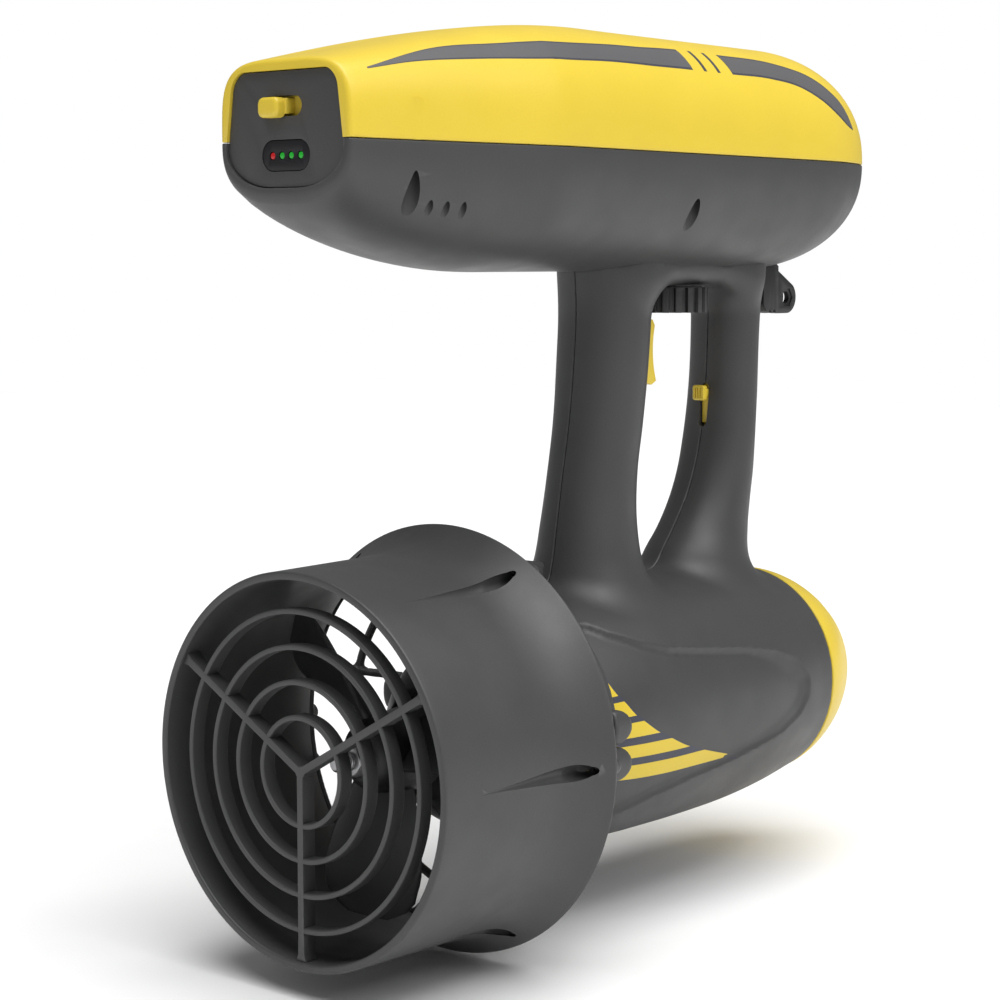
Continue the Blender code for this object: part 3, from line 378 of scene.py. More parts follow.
def noise(tree, scale, detail, spread=(0.0, 1.0)):
    """Noise in the object's own space, stretched to a range."""
    where = tree.nodes.new("ShaderNodeTexCoord")
    texture = tree.nodes.new("ShaderNodeTexNoise")
    texture.inputs["Scale"].default_value = scale
    texture.inputs["Detail"].default_value = detail
    tree.links.new(where.outputs["Object"], texture.inputs["Vector"])
    fit = tree.nodes.new("ShaderNodeMapRange")
    fit.inputs["From Min"].default_value = 0.3
    fit.inputs["From Max"].default_value = 0.7
    fit.inputs["To Min"].default_value = spread[0]
    fit.inputs["To Max"].default_value = spread[1]
    tree.links.new(texture.outputs["Fac"], fit.inputs["Value"])
    return fit.outputs["Result"]


def mixed(tree, factor, first, second):
    """Mixes two colours, each a colour or another node's output."""
    mix = tree.nodes.new("ShaderNodeMix")
    mix.data_type = "RGBA"
    tree.links.new(factor, mix.inputs["Factor"])
    for socket, value in ((mix.inputs["A"], first), (mix.inputs["B"], second)):
        if isinstance(value, tuple):
            socket.default_value = (*value, 1.0)
        else:
            tree.links.new(value, socket)
    return mix.outputs["Result"]


def painted_edge_highlight(tree, low, high, most):
    """How much painted highlight an outward edge gets, broken up by noise."""
    shape = tree.nodes.new("ShaderNodeNewGeometry")
    edge = tree.nodes.new("ShaderNodeMapRange")
    edge.inputs["From Min"].default_value = low
    edge.inputs["From Max"].default_value = high
    edge.inputs["To Max"].default_value = most
    tree.links.new(shape.outputs["Pointiness"], edge.inputs["Value"])
    product = tree.nodes.new("ShaderNodeMath")
    product.operation = "MULTIPLY"
    tree.links.new(edge.outputs["Result"], product.inputs[0])
    tree.links.new(noise(tree, 300, 3), product.inputs[1])
    return product.outputs["Value"]


def shaded(tint, shift):
    return tuple(min(max(channel * shift, 0.0), 1.0) for channel in tint)


def surface(name, slot, colour, roughness, metallic=0.0, grain=2600, height=0.05, mottle=0.07, edge_highlight=0.35,
            coat=0.0, specular=0.5, spread=0.06):
    """Moulded or machined material: broad colour variation, fine grain, roughness variation and a painted highlight
    on outward edges.
    """
    made = bpy.data.materials.new(name)
    made.use_nodes = True
    made["slot"] = slot
    tree = made.node_tree
    shader = tree.nodes["Principled BSDF"]
    base = mixed(tree, noise(tree, 28, 4), shaded(colour, 1 - mottle), shaded(colour, 1 + mottle))
    base = mixed(tree, noise(tree, grain * 0.6, 2, (0.0, 0.5)), base, shaded(colour, 1 - 2 * mottle))
    # Outward edges are painted paler, as a highlight where light would catch them, in patches.
    if edge_highlight:
        pale = tuple(0.7 * channel + 0.12 for channel in colour)
        base = mixed(tree, painted_edge_highlight(tree, 0.53, 0.6, edge_highlight), base, pale)
    tree.links.new(base, shader.inputs["Base Color"])
    rough = noise(tree, 60, 5, (roughness - spread, roughness + spread))
    tree.links.new(rough, shader.inputs["Roughness"])
    shader.inputs["Metallic"].default_value = metallic
    shader.inputs["Specular IOR Level"].default_value = specular
    shader.inputs["Coat Weight"].default_value = coat
    bump = tree.nodes.new("ShaderNodeBump")
    bump.inputs["Strength"].default_value = 1.0
    bump.inputs["Distance"].default_value = height * MM
    tree.links.new(noise(tree, grain, 3), bump.inputs["Height"])
    tree.links.new(bump.outputs["Normal"], shader.inputs["Normal"])
    return made


def brushed(name, slot, colour, roughness, direction):
    """Turned metal with fine lines round or along it."""
    # The last number is the strength of the painted edge highlight.
    made = surface(name, slot, colour, roughness, 1.0, 900, 0.004, 0.05, 0.2)
    tree = made.node_tree
    where = tree.nodes.new("ShaderNodeTexCoord")
    stretch = tree.nodes.new("ShaderNodeMapping")
    stretch.inputs["Scale"].default_value = direction
    texture = tree.nodes.new("ShaderNodeTexNoise")
    texture.inputs["Scale"].default_value = 900
    tree.links.new(where.outputs["Object"], stretch.inputs["Vector"])
    tree.links.new(stretch.outputs["Vector"], texture.inputs["Vector"])
    bump = next(node for node in tree.nodes if node.bl_idname == "ShaderNodeBump")
    tree.links.new(texture.outputs["Fac"], bump.inputs["Height"])
    return made


# Most of these materials get a painted highlight on their outward edges. Where its strength is 0 they get none.
YELLOW = surface("yellow_shell", "yellow_plastic", (0.76, 0.56, 0.045), 0.38, grain=3200, height=0.012,
                 mottle=0.03, edge_highlight=0.25, spread=0.05)
DARK = surface("dark_grey_shell", "dark_plastic", (0.050, 0.050, 0.051), 0.47, grain=2400, height=0.02,
               mottle=0.06, edge_highlight=0.5)
BLACK = surface("black_nylon", "black_plastic", (0.022, 0.022, 0.023), 0.42, grain=1800, height=0.02)
STRIPE = surface("grey_inlay", "dark_plastic", (0.10, 0.10, 0.104), 0.5, grain=2600, height=0.012,
                 mottle=0.04, edge_highlight=0)
STRIPE_EDGE = surface("blue_grey_inlay", "dark_plastic", (0.045, 0.048, 0.07), 0.5, grain=2600,
                      height=0.012, edge_highlight=0)
PAINT = surface("yellow_inlay", "yellow_plastic", (0.72, 0.53, 0.035), 0.42, grain=3200, height=0.01,
                mottle=0.03, edge_highlight=0)
RUBBER = surface("black_rubber", "rubber", (0.022, 0.022, 0.022), 0.75, grain=1500, height=0.03)
DARK_STEEL = brushed("blackened_steel", "steel", (0.10, 0.10, 0.105), 0.38, (30, 30, 30))
STEEL = brushed("stainless_steel", "steel", (0.56, 0.56, 0.57), 0.32, (1, 30, 30))
CAN = brushed("motor_can_steel", "can", (0.5, 0.51, 0.52), 0.36, (14, 1, 1))
COPPER = brushed("copper_windings", "windings", (0.72, 0.34, 0.16), 0.38, (1, 9, 9))
CELL = surface("cell_wrap", "cell", (0.03, 0.16, 0.36), 0.35, grain=900, height=0.01, coat=0.3)
BOARD = surface("circuit_board", "board", (0.015, 0.12, 0.05), 0.4, grain=700, height=0.02, coat=0.4)


def smoked_lens():
    made = surface("smoked_lens", "lens", (0.012, 0.012, 0.014), 0.38, grain=500, height=0.002, edge_highlight=0,
                   specular=0.3)
    return made


def lamp(name, slot, colour, strength):
    made = surface(name, slot, colour, 0.3, grain=500, height=0.004, edge_highlight=0)
    shader = made.node_tree.nodes["Principled BSDF"]
    shader.inputs["Emission Color"].default_value = (*colour, 1.0)
    shader.inputs["Emission Strength"].default_value = strength
    return made


LENS = smoked_lens()
RED = lamp("red_light", "led_red", (0.4, 0.006, 0.008), 0.35)
GREEN = lamp("green_light", "led_green", (0.008, 0.32, 0.02), 0.3)


# ---------------------------------------------------------------- float pod


def nose_factor(x):
    return np.sqrt(np.clip(1 - (np.maximum(x - POD_NOSE, 0) / (POD_TIP - POD_NOSE)) ** 2, 0, 1))


def pod_half_width(x):
    grown = np.clip(smoothstep((x - POD_REAR + 60) / 260) * 2 - 0.27, 0, 1)
    return (31 + 15 * grown) * nose_factor(x)


def pod_height(x, side):
    """The pod's reach above (side 1) or below (side -1) its split plane."""
    if side > 0:
        return (26.8 + 19.8 * np.sin(math.pi / 2 * np.clip((x - POD_REAR) / 140, 0, 1))) * nose_factor(x)
    return (18.4 + 25.8 * np.sin(math.pi / 2 * np.clip((x - POD_REAR) / 95, 0, 1)) ** 0.6) * nose_factor(x)


def pod_squareness(x, side):
    if side > 0:
        return np.interp(x, (POD_REAR, 60, 150, POD_TIP), (4.2, 3.2, 2.6, 2.3))
    return np.interp(x, (POD_REAR, 60, POD_TIP), (2.7, 2.3, 2.2))


def pod_underside(x, y):
    """Height of the pod's lower surface."""
    power = pod_squareness(x, -1)
    across = np.clip(np.abs(y) / np.maximum(pod_half_width(x), 1), 0, 1)
    return POD_SPLIT - pod_height(x, -1) * (1 - across**power) ** (1 / power)


def half_section(x, side, inset, count, chamfer):
    """Evenly spaced points from the left seam over the pod to the right seam."""
    power = 2 / pod_squareness(x, side)
    turn = np.linspace(0, math.pi, 721)
    width = max(pod_half_width(x) - inset, 0.02)
    height = max(pod_height(x, side) - inset, 0.02)
    y = width * np.sign(np.cos(turn)) * np.abs(np.cos(turn)) ** power
    z = height * np.abs(np.sin(turn)) ** power
    length = np.concatenate([[0], np.cumsum(np.hypot(np.diff(y), np.diff(z)))])
    reach = min(chamfer, 0.4 * width, 0.4 * height)
    ends = reach * np.array([0, 0.1, 0.3, 0.6])
    places = np.concatenate([ends, np.linspace(reach, length[-1] - reach, count), length[-1] - ends[::-1]])
    y, z = np.interp(places, length, y), np.interp(places, length, z)
    y -= np.sign(y) * reach * (1 - np.sqrt(1 - np.clip(1 - z / reach, 0, 1) ** 2))
    split = POD_SPLIT + side * GAP / 2
    return [(x, a, split + side * b) for a, b in zip(y, z)]


def pod_half(name, side, inset=0.0, rear=POD_REAR, edge=1.6):
    count = 110
    tip = POD_TIP - inset
    stations = [(rear + edge * (1 - math.cos(t)), edge * (1 - math.sin(t))) for t in np.linspace(0,
                                                                                                 math.pi / 2, 7)]
    middle = np.linspace(rear + edge, POD_NOSE, 60)[1:]
    nose = [POD_NOSE + (tip - POD_NOSE) * math.sin(t) for t in np.linspace(0, math.pi / 2, 30)[1:-1]]
    stations += [(x, 0.0) for x in [*middle, *nose, tip - 0.01]]
    rings = []
    for x, rounding in stations:
        stretched = x if x < POD_NOSE else POD_NOSE + (x - POD_NOSE) * (POD_TIP - POD_NOSE) / (tip - POD_NOSE)
        section = half_section(stretched, side, inset + rounding, count, 0.5)
        rings.append([(x, y, z) for _, y, z in section])
    return lofted(name, rings)


def cap_outline(offset):
    """The end cap seen from behind: a wide round bottom and sides that lean in a little above the seam."""
    flat = round_box(CAP_HALF, CAP_LOW, CAP_HIGH, 13, 6, 14)
    shaped = []
    for y, z in flat:
        side, reach = math.copysign(1, y), abs(y)
        if z < CAP_LOW + 13:
            down = (CAP_LOW + 13 - z) / 13
            reach = (CAP_HALF - 21) + 21 * math.sqrt(max(1 - down**2,
                                                         0.0)) if reach > CAP_HALF - 13.01 else reach
        lean = 3.4 * max(z - POD_SPLIT, 0) / (CAP_HIGH - POD_SPLIT)
        shaped.append((side * reach * (1 - lean / CAP_HALF), z))
    grown = []
    for here, back, ahead in zip(shaped, shaped[-1:] + shaped[:-1], shaped[1:] + shaped[:1]):
        tangent = Vector((ahead[0] - back[0], ahead[1] - back[1])).normalized()
        grown.append((here[0] + offset * tangent.y, here[1] - offset * tangent.x))
    return grown


def make_pod_top_cover():
    cover = pod_half("pod_cover", 1)
    boolean(cover, [pod_half("hollow", 1, POD_WALL, POD_REAR + 3),
                    prism("opening", cap_outline(GAP), "X", POD_REAR - 1, POD_REAR + 10)])
    for x, y, _ in POD_SCREWS:
        for side in (1, -1):
            boolean(cover, [rod("post", "Z", (x, side * y, 0), POD_SPLIT + 0.15, POD_SPLIT + 14, 3.8)],
                    "UNION")
            boolean(cover, [rod("thread", "Z", (x, side * y, 0), POD_SPLIT - 2, POD_SPLIT + 10, 1.5)])
    return piece(cover, "root", YELLOW, "pod_top_cover")


def make_pod_lower_shell():
    shell = pod_half("pod_shell", -1)
    hollow = pod_half("hollow", -1, POD_WALL, POD_REAR + 3)
    for x, y, _ in POD_SCREWS:
        for side in (1, -1):
            boolean(hollow, [rod("post", "Z", (x, side * y, 0), 150, POD_SPLIT + 4, 5.0)])
    boolean(hollow, [rod("post", "Z", (KNOB_X, 0, 0), 150, 188, 8.0)])
    boolean(shell, [hollow, prism("opening", cap_outline(GAP), "X", POD_REAR - 1, POD_REAR + 10),
                    rod("stud_bore", "Z", (KNOB_X, 0, 0), 160, 187, STUD_R + GAP),
                    rod("cable_hole", "Z", (158.5, 0, 0), 160, 180, 3.0)])
    for x, y, head in POD_SCREWS:
        for side in (1, -1):
            boolean(shell, [rod("recess", "Z", (x, side * y, 0), 150, head + 2.6, 3.2),
                            rod("bore", "Z", (x, side * y, 0), head, POD_SPLIT + 2, 1.5)])
    for x in (32.6, 39.7, 47.0):
        for side in (1, -1):
            y = side * (pod_half_width(x) - 4.8)
            boolean(shell, [rod("drain", "Z", (x, float(y), 0), 160, 212, 1.5)])
    return piece(shell, "root", DARK, "pod_lower_shell")


STRIPE_TOP = ((6, 28.2, 22.9), (39, 27.3, 30.2), (72.4, 30.9, 33.3), (103.3, 33, 35.5),
              (139.9, 31.7, 37.7), (173, 29.9, 39.2), (201, 29.9, 38.9), (237, 30.7, 38),
              (256.3, 34.4, 34.6), (269.1, 37.2, 29.1),
              (280.3, 38.9, 21), (284.6, 39.8, 14.6))
STRIPE_BASE = ((6, 28.6, 22.4), (24.1, 29.8, 25.2), (53.9, 33.9, 28), (92.4, 39.1, 30.1), (122, 38.7, 31.3),
               (174.9, 37.8, 32), (201, 37.8, 32), (227.2, 37.5, 31.6), (245.9, 38.9, 29.4),
               (258.1, 41.1, 25.1),
               (270.2, 42, 19.2), (279.2, 41.2, 15.1), (284.6, 39.8, 13.4))


def on_pod(x, y, z, lift):
    """The point of the cover in the direction (y, z) from the pod's axis, lifted off it."""
    power = pod_squareness(x, 1)
    reach = (np.abs(y / pod_half_width(x)) ** power + np.abs(z / pod_height(x, 1)) ** power) ** (-1 / power)
    grown = reach + lift / math.hypot(y, z)
    return x, y * grown, POD_SPLIT + GAP / 2 + z * grown


def inlay(name, sheet, body, mat):
    """A thin solid from a grid of (upper, lower) point pairs."""
    rows, columns = len(sheet), len(sheet[0])
    points, faces = [], []
    for row in sheet:
        for upper, lower in row:
            points += [upper, lower]
    for i in range(rows - 1):
        for j in range(columns - 1):
            a, b = 2 * (i * columns + j), 2 * (i * columns + j + 1)
            c, d = b + 2 * columns, a + 2 * columns
            faces += [(a, b, c, d), (a + 1, d + 1, c + 1, b + 1)]
    rim = ([(0, j) for j in range(columns)] + [(i, columns - 1) for i in range(1, rows)]
           + [(rows - 1, j) for j in range(columns - 2, -1, -1)] + [(i, 0) for i in range(rows - 2, 0, -1)])
    numbers = [2 * (i * columns + j) for i, j in rim]
    faces += [(b, a, a + 1, b + 1) for a, b in zip(numbers, numbers[1:] + numbers[:1])]
    return piece(mesh_object(name, points, faces), body, mat, sharp=50)


def make_pod_stripes():
    """Two long grey bands with two narrow bars between them, on each side of the cover."""
    for side, name in ((-1, "right"), (1, "left")):
        for number, (start, end) in enumerate(((6, 174.2), (181.6, 183.5), (190.6, 192.5), (200.6, 284.6)),
                                              1):
            places = np.linspace(start, end, 90 if end - start > 5 else 5)
            for layer, mat, grown, lift in (("edge", STRIPE_EDGE, 0.045, 0.05),
                                            ("face", STRIPE, -0.045, 0.09)):
                if mat is STRIPE and end - start < 5:
                    continue
                sheet = []
                for x in places:
                    top, base = through(STRIPE_TOP, x), through(STRIPE_BASE, x)
                    row = []
                    for t in np.linspace(-grown, 1 + grown, 9):
                        y, z = top * (1 - t) + base * t
                        row.append([(p[0], side * p[1], p[2]) for p in (on_pod(x, y, z, lift),
                                                                        on_pod(x, y, z, -0.3))])
                    sheet.append(row)
                inlay(f"pod_band_{name}_{number}_{layer}", sheet, "root", mat)


def make_camera_mount():
    """A flat bracket under the pod, split into two fingers round a cross hole, with teeth along its lower edge."""
    hole = (290.0, 160.0)
    outline = arc(hole, 6.8, 48, -90, 24) + [(282.5, 153.2)]
    for tooth in range(3):
        x = 281.0 - 3.2 * tooth
        outline += [(x, 153.6), (x - 0.5, 155.0), (x - 1.7, 155.0), (x - 2.2, 153.6)]
    outline += [(270.5, 154.6), (268.6, 157.5), (268.5, 176.5), (274.0, 176.5)]
    mount = prism("mount", outline, "Y", -7.4, 7.4)
    roof = pod_half("pod_below", -1, -GAP)
    boolean(mount, [roof, block("slot", (277.5, -1.6, 145), (300, 1.6, 176.0))])
    for side in (1, -1):
        low, high = sorted((side * 4.8, side * 9.0))
        boolean(mount, [block("flank", (279.5, low, 145), (300, high, 176.0))])
    boolean(mount, [rod("hole", "Y", (hole[0], 0, hole[1]), -10, 10, 2.6)])
    for side in (1, -1):
        boolean(mount, [rod("nut_seat", "Y", (hole[0], 0, hole[1]), *sorted((side * 4.0, side * 6)), 4.3,
                            6)])
    bevelled(mount, 0.35)
    return piece(mount, "root", BLACK, "camera_mount")


# ---------------------------------------------------------------- battery module


def make_battery_end_cap():
    cap = prism("end_cap", cap_outline(0.0), "X", CAP_REAR, CAP_REAR + 4.8)
    pill = round_box(11.5, LED_Z - 5.3, LED_Z + 5.3, 5.2, 5.2)
    slot = [(y + LATCH_MIDDLE, z) for y, z in round_box(9.5, LATCH_Z - 3.4, LATCH_Z + 3.4, 3.3, 3.3)]
    boolean(cap, [prism("lens_pocket", pill, "X", CAP_REAR - 1, CAP_REAR + 3.6),
                  prism("latch_slot", slot, "X", CAP_REAR - 1, CAP_REAR + 6),
                  block("latch_pocket", (CAP_REAR + 3, -17, LATCH_Z - 5),
                        (CAP_FRONT + 1, 17, LATCH_Z + 5))])
    bevelled(cap, 0.6, 4)
    plug = prism("plug", cap_outline(-3.0), "X", CAP_REAR + 4.9, CAP_FRONT)
    boolean(plug, [block("latch_pocket", (CAP_REAR + 3, -17, LATCH_Z - 5),
                         (CAP_FRONT + 1, 17, LATCH_Z + 5))])
    return piece(join("battery_cap", [cap, plug]), "battery", DARK, "battery_end_cap")


def make_indicator():
    lens = prism("lens", round_box(11.2, LED_Z - 5.0, LED_Z + 5.0, 4.9, 4.9), "X", CAP_REAR + 0.3,
                 CAP_REAR + 1.6)
    middles = (6.7, 2.2, -2.2, -6.7)
    boolean(lens, [rod("window", "X", (0, y, LED_Z), CAP_REAR - 1, CAP_REAR + 3, 1.4) for y in middles])
    bevelled(lens, 0.3)
    piece(lens, "battery", LENS, "indicator_lens")
    for number, y in enumerate(middles):
        node = "led_red" if number == 0 else f"led_green_{number}"
        dome = [(CAP_REAR + 0.2 + 0.5 * (1 - math.cos(t)), 1.15 * math.sin(t)) for t in np.linspace(0,
                                                                                                    math.pi / 2, 8)]
        light = turned(f"light_{number + 1}", dome + [(CAP_REAR + 3.2, 1.15), (CAP_REAR + 3.2, 0)], "X",
                       (0, y, LED_Z), 32)
        piece(light, "battery", RED if number == 0 else GREEN, node)


def make_battery_latch():
    """A thumb knob with a rounded face outside the slot, a neck through it and a plate behind it."""
    low, high, base, top = -0.4, 9.4, LATCH_Z - 3.9, LATCH_Z + 2.9
    rings = []
    for x, inset in ((-0.4, 0), (-3.2, 0), (-3.7, 0.15), (-4.1, 0.5), (-4.35, 1.0), (-4.4, 1.6)):
        corners = [(low + inset, base + inset), (high - inset, base + inset), (high - inset, top - inset),
                   (low + inset, top - inset)]
        rings.append([(CAP_REAR + x, y, z) for y, z in rounded(corners, 2.6 - 0.6 * inset, 8)])
    knob = lofted("latch_knob", rings)
    neck = block("neck", (CAP_REAR - 0.6, -1.0, LATCH_Z - 2.6), (CAP_REAR + 4.2, 9.6, LATCH_Z + 2.6), 0.3)
    plate = block("plate", (CAP_REAR + 3.6, -9.6, LATCH_Z - 4.4), (CAP_REAR + 5.6, 15.8, LATCH_Z + 4.4),
                  0.4)
    return piece(join("latch", [knob, neck, plate]), "latch", YELLOW, "battery_latch")


def make_battery_inside():
    tray = block("tray", (CAP_FRONT + GAP, -23.8, 203.0), (153.5, 23.8, 218.0), 2.2)
    boolean(tray, [block("hollow", (CAP_FRONT + 2.3, -22.3, 204.5), (152.0, 22.3, 225.0))])
    for x in (30, 55, 104, 129):
        boolean(tray, [block("window", (x - 7, -30, 207.5), (x + 7, 30, 213.5))])
    bevelled(tray, 0.35)
    piece(tray, "battery", BLACK, "battery_tray")
    number = 1
    for start in (8.5, 80.0):
        for side in (1, -1):
            end = start + 69
            wrap = [(start, 0), (start, 10.2), (start + 0.3, 10.4), (end - 4.2, 10.4), (end - 3.6, 9.9),
                    (end - 3.0, 9.9),
                    (end - 2.4, 10.4), (end - 0.3, 10.4), (end, 10.1), (end, 7.5), (end - 0.6, 7.2),
                    (end - 0.6, 3.6),
                    (end + 1, 3.3), (end + 1, 0)]
            cell = turned(f"cell_{number}", wrap, "X", (0, side * 11.0, 216.0), 72)
            piece(cell, "battery", CELL, f"battery_cell_{number}", sharp=30)
            number += 1


# ---------------------------------------------------------------- body, handle and nose


def body_radius(x):
    return through(BODY_OUTLINE, x)[..., 0]


def strut_distance(x, y, z, table):
    middle, half_x, half_y = np.moveaxis(through(table, np.clip(z, 36, 180)), -1, 0)
    u, v = (x - middle) / half_x, y / half_y
    reach = np.sqrt(u * u + v * v) + 1e-9
    steep = np.sqrt((u / half_x) ** 2 + (v / half_y) ** 2) + 1e-9
    side = reach * (reach - 1) / steep
    return trimmed(side, 26 - z, 4.0)


def housing_distance(x, y, z):
    """Body, both struts and the bridge as one flowing form."""
    radius = np.sqrt(y * y + z * z)
    lean = (body_radius(x + 0.5) - body_radius(x - 0.5))
    body = (radius - body_radius(x)) / np.sqrt(1 + lean * lean)
    rear = strut_distance(x, y, z, REAR_STRUT)
    front = strut_distance(x, y, z, FRONT_STRUT)
    bridge = slab(x, z, (172, BRIDGE_UNDER), (250, 190), 4.0)
    half = 17.6 - 1.6 * smoothstep((x - 180) / 60)
    bridge = trimmed(bridge, np.abs(y) - half, 8.0)
    handle = joined(joined(rear, front, 12.0), bridge, 14.0)
    shape = joined(body, handle, 7.0)
    shape = trimmed(shape, np.maximum(BODY_REAR - x, x - NOSE_JOINT + GAP), 1.2)
    roof = z - np.minimum(pod_underside(x, y) + 1.2, 178.0)
    return trimmed(shape, roof, 0.4)


PANEL = ((100, 57), (124.5, 57), (131.5, 48.2), (144, 39.3), (156.8, 34), (178.2, 30.4), (202.5, 26.9),
         (224.3, 22.2),
         (238.8, 15.9), (246.4, 7), (246, -2.7), (239.3, -11.3), (227.4, -17.6), (207.5, -22.1),
         (192.8, -25.1),
         (171.1, -28.4), (148.2, -34.3), (132.6, -42.9), (118, -52), (100, -60))


def panel_depth(x, y, z):
    """How deep the side panel is pressed in: its shoulder is sharp at the rear and broad at the nose."""
    degrees = np.degrees(np.arctan2(z, np.abs(y)))
    corners = [(a, b * 0.88) for a, b in PANEL]
    inside = -polygon_distance(x, degrees * 0.88, corners)
    broad = 2.0 + 4.5 * smoothstep((x - 205) / 30)
    depth = 1.3 * np.clip(inside / broad, 0, 1) + 0.7 * np.clip(inside / 0.9, 0, 1)
    return depth * (np.hypot(y, z) < 56)


def panelled_housing(x, y, z):
    return housing_distance(x, y, z) + panel_depth(x, y, z)


def half_housing():
    """The left half of the housing: its outer skin and a small chamfer at the parting line, left open on the
    parting plane.
    """
    points, faces = skin(housing_distance, (BODY_REAR, 0, -52), (NOSE_JOINT, 52, 179), SKIN, True,
                         panelled_housing)
    edges = np.sort(np.concatenate([faces[:, [0, 1]], faces[:, [1, 2]], faces[:, [2, 3]],
                                    faces[:, [3, 0]]]), 1)
    edges, uses = np.unique(edges, axis=0, return_counts=True)
    border = edges[uses == 1]
    rim = np.unique(border)
    inner = np.full(len(points), -1)
    inner[rim] = len(points) + np.arange(len(rim))
    drawn = points[rim] - 0.4 * slope(housing_distance, points[rim])
    drawn[:, 1] = GAP / 2
    points[rim, 1] = GAP / 2 + 0.4
    points = np.concatenate([points, drawn])
    quads = faces.tolist() + [[a, b, inner[b], inner[a]] for a, b in border.tolist()]
    return points, quads


def solid_half(name, side, points, quads):
    placed = points * (1, side, 1)
    obj = mesh_object(name, placed, quads)
    bm = bmesh.new()
    bm.from_mesh(obj.data)
    open_edges = [edge for edge in bm.edges if edge.is_boundary]
    bmesh.ops.triangle_fill(bm, edges=open_edges, use_beauty=True)
    bmesh.ops.recalc_face_normals(bm, faces=bm.faces)
    bm.to_mesh(obj.data)
    bm.free()
    return obj


def make_housing():
    points, quads = half_housing()
    for name, side in (("left", 1), ("right", -1)):
        half = solid_half(f"body_half_{name}", side, points, quads)
        hollow = [(BODY_REAR + 6, 0)] + [(x, r - 3.0) for x,
                                         r in BODY_OUTLINE if 70 < x < 262] + [(265, 42.5), (265, 0)]
        slot = [(y, z) for y, z in round_box(2.1, 107.0, 125.0, 2.0, 2.0)]
        cutters = [
            turned("hollow", hollow, steps=64),
            rod("seal_bore", "X", (0, 0, 0), BODY_REAR - 2, BODY_REAR + 12, 8.3),
            block("trigger_slot", (175.4, -7.2, 122.0), (200.0, 7.2, 155.5)),
            block("spring_pocket", (176.0, -10.2, 145.5), (183.5, 10.2, 152.5)),
            prism("selector_slot", slot, "X", 225.0, 246.0),
            block("selector_pocket", (SELECTOR_FACE + 2.9, -5.2, 95.0), (246.0, 5.2, 127.5)),
            block("selector_track", (SELECTOR_FACE + 1.2, -1.95, 97.8), (SELECTOR_FACE + 4, 1.95, 109.4)),
            block("switch_pocket", (242.0, -5.2, 103.0), (253.0, 5.2, 123.0)),
            block("trigger_switch_pocket", (163.0, -4.6, 125.0), (177.0, 4.6, 140.0)),
            rod("stud_hole", "Z", (KNOB_X, 0, 0), 150, 185, STUD_R + GAP),
            rod("pin_hole", "Y", (TRIGGER_X, 0, TRIGGER_Z), -13, 13, 1.8, 24),
        ]
        nodes = [f"housing_{name}"]
        for x, z, head in HOUSING_SCREWS:
            cutters.append(rod("bore", "Y", (x, 0, z), -9, head + 1, 1.8, 24))
            if side > 0:
                cutters.append(rod("recess", "Y", (x, 0, z), head - GAP, 60, 3.5))
        boolean(half, cutters)
        piece(half, "root", DARK, *nodes, sharp=40)


STRIPE_ENDS = ((-24, 197), (-23.3, 195.1), (-15.7, 172.8), (-12.3, 163.3), (-5.5, 149.7), (-2.4, 143.9),
               (4.3, 135.1),
               (7.8, 131.1), (14.7, 126.3), (18.2, 123.8), (26.8, 120.3), (28, 119.9))
STRIPE_BANDS = ((26.8, 18.5), (15.4, 7.8), (4.7, -2.2), (-6.0, -12.2), (-16.0, -23.4))


def on_body(x, degrees, side, lift):
    turn = math.radians(degrees)
    y, z = math.cos(turn), math.sin(turn)
    radius = float(body_radius(x))
    radius += lift - float(panel_depth(np.array(x), np.array(radius * y), np.array(radius * z)))
    return x, side * radius * y, radius * z


def make_body_stripes():
    """Five yellow bands that step down towards the nose, on a darker ground, on each side."""
    for side, name in ((-1, "right"), (1, "left")):
        grounds = [(27.6, -24.2)]
        for kind, bands, mat, lift, reach in (("ground", grounds, STRIPE_EDGE, 0.05, 0.9),
                                              ("band", STRIPE_BANDS, PAINT, 0.1, 0.0)):
            for number, (top, base) in enumerate(bands, 1):
                sheet = []
                for degrees in np.linspace(top, base, max(int((top - base) * 1.5), 6)):
                    end = float(through(STRIPE_ENDS, degrees)[0]) + reach
                    row = []
                    for x in np.linspace(109, end, 60):
                        row.append((on_body(x, degrees, side, lift), on_body(x, degrees, side, -0.4)))
                    sheet.append(row)
                inlay(f"body_{kind}_{name}_{number}", sheet, "root", mat)


def nose_radius(u, inset):
    return (NOSE_R - inset) * (1 - u**1.5) ** (1 / 1.5)


def nose_profile(inset, count):
    """From the rim to the tip: a blunt dome."""
    places = [math.sin(t) for t in np.linspace(0, math.pi / 2, count)]
    return [(NOSE_JOINT + (NOSE_LENGTH - inset) * u, max(nose_radius(u, inset), 0)) for u in places]


def nose_point(angle):
    turn = math.radians(angle)
    return (0.0, NOSE_SCREW_R * math.cos(turn), NOSE_SCREW_R * math.sin(turn))


def make_nose_cap():
    outer = nose_profile(0.0, 48)
    rim = [(NOSE_JOINT, 0), (NOSE_JOINT, NOSE_R - 0.7), (NOSE_JOINT + 0.15, NOSE_R - 0.3),
           (NOSE_JOINT + 0.5, NOSE_R - 0.05)]
    cap = turned("nose", rim + [point for point in outer if point[0] > NOSE_JOINT + 0.8])
    hollow = turned("hollow", [(NOSE_JOINT - 2, 0), (NOSE_JOINT - 2, NOSE_R - 3)] + nose_profile(3.0, 24))
    for angle in NOSE_SCREWS:
        boolean(hollow, [rod("post", "X", nose_point(angle), NOSE_JOINT - 3, NOSE_JOINT + 25, 4.6)])
    boolean(cap, [hollow])
    for angle in NOSE_SCREWS:
        boolean(cap, [rod("bore", "X", nose_point(angle), NOSE_JOINT - 2, NOSE_JOINT + 9, 1.8, 24),
                      rod("recess", "X", nose_point(angle), NOSE_JOINT + 6, NOSE_JOINT + 60, 3.1)])
    return piece(cap, "root", YELLOW, "nose_cap")


# ---------------------------------------------------------------- duct, grille and guard


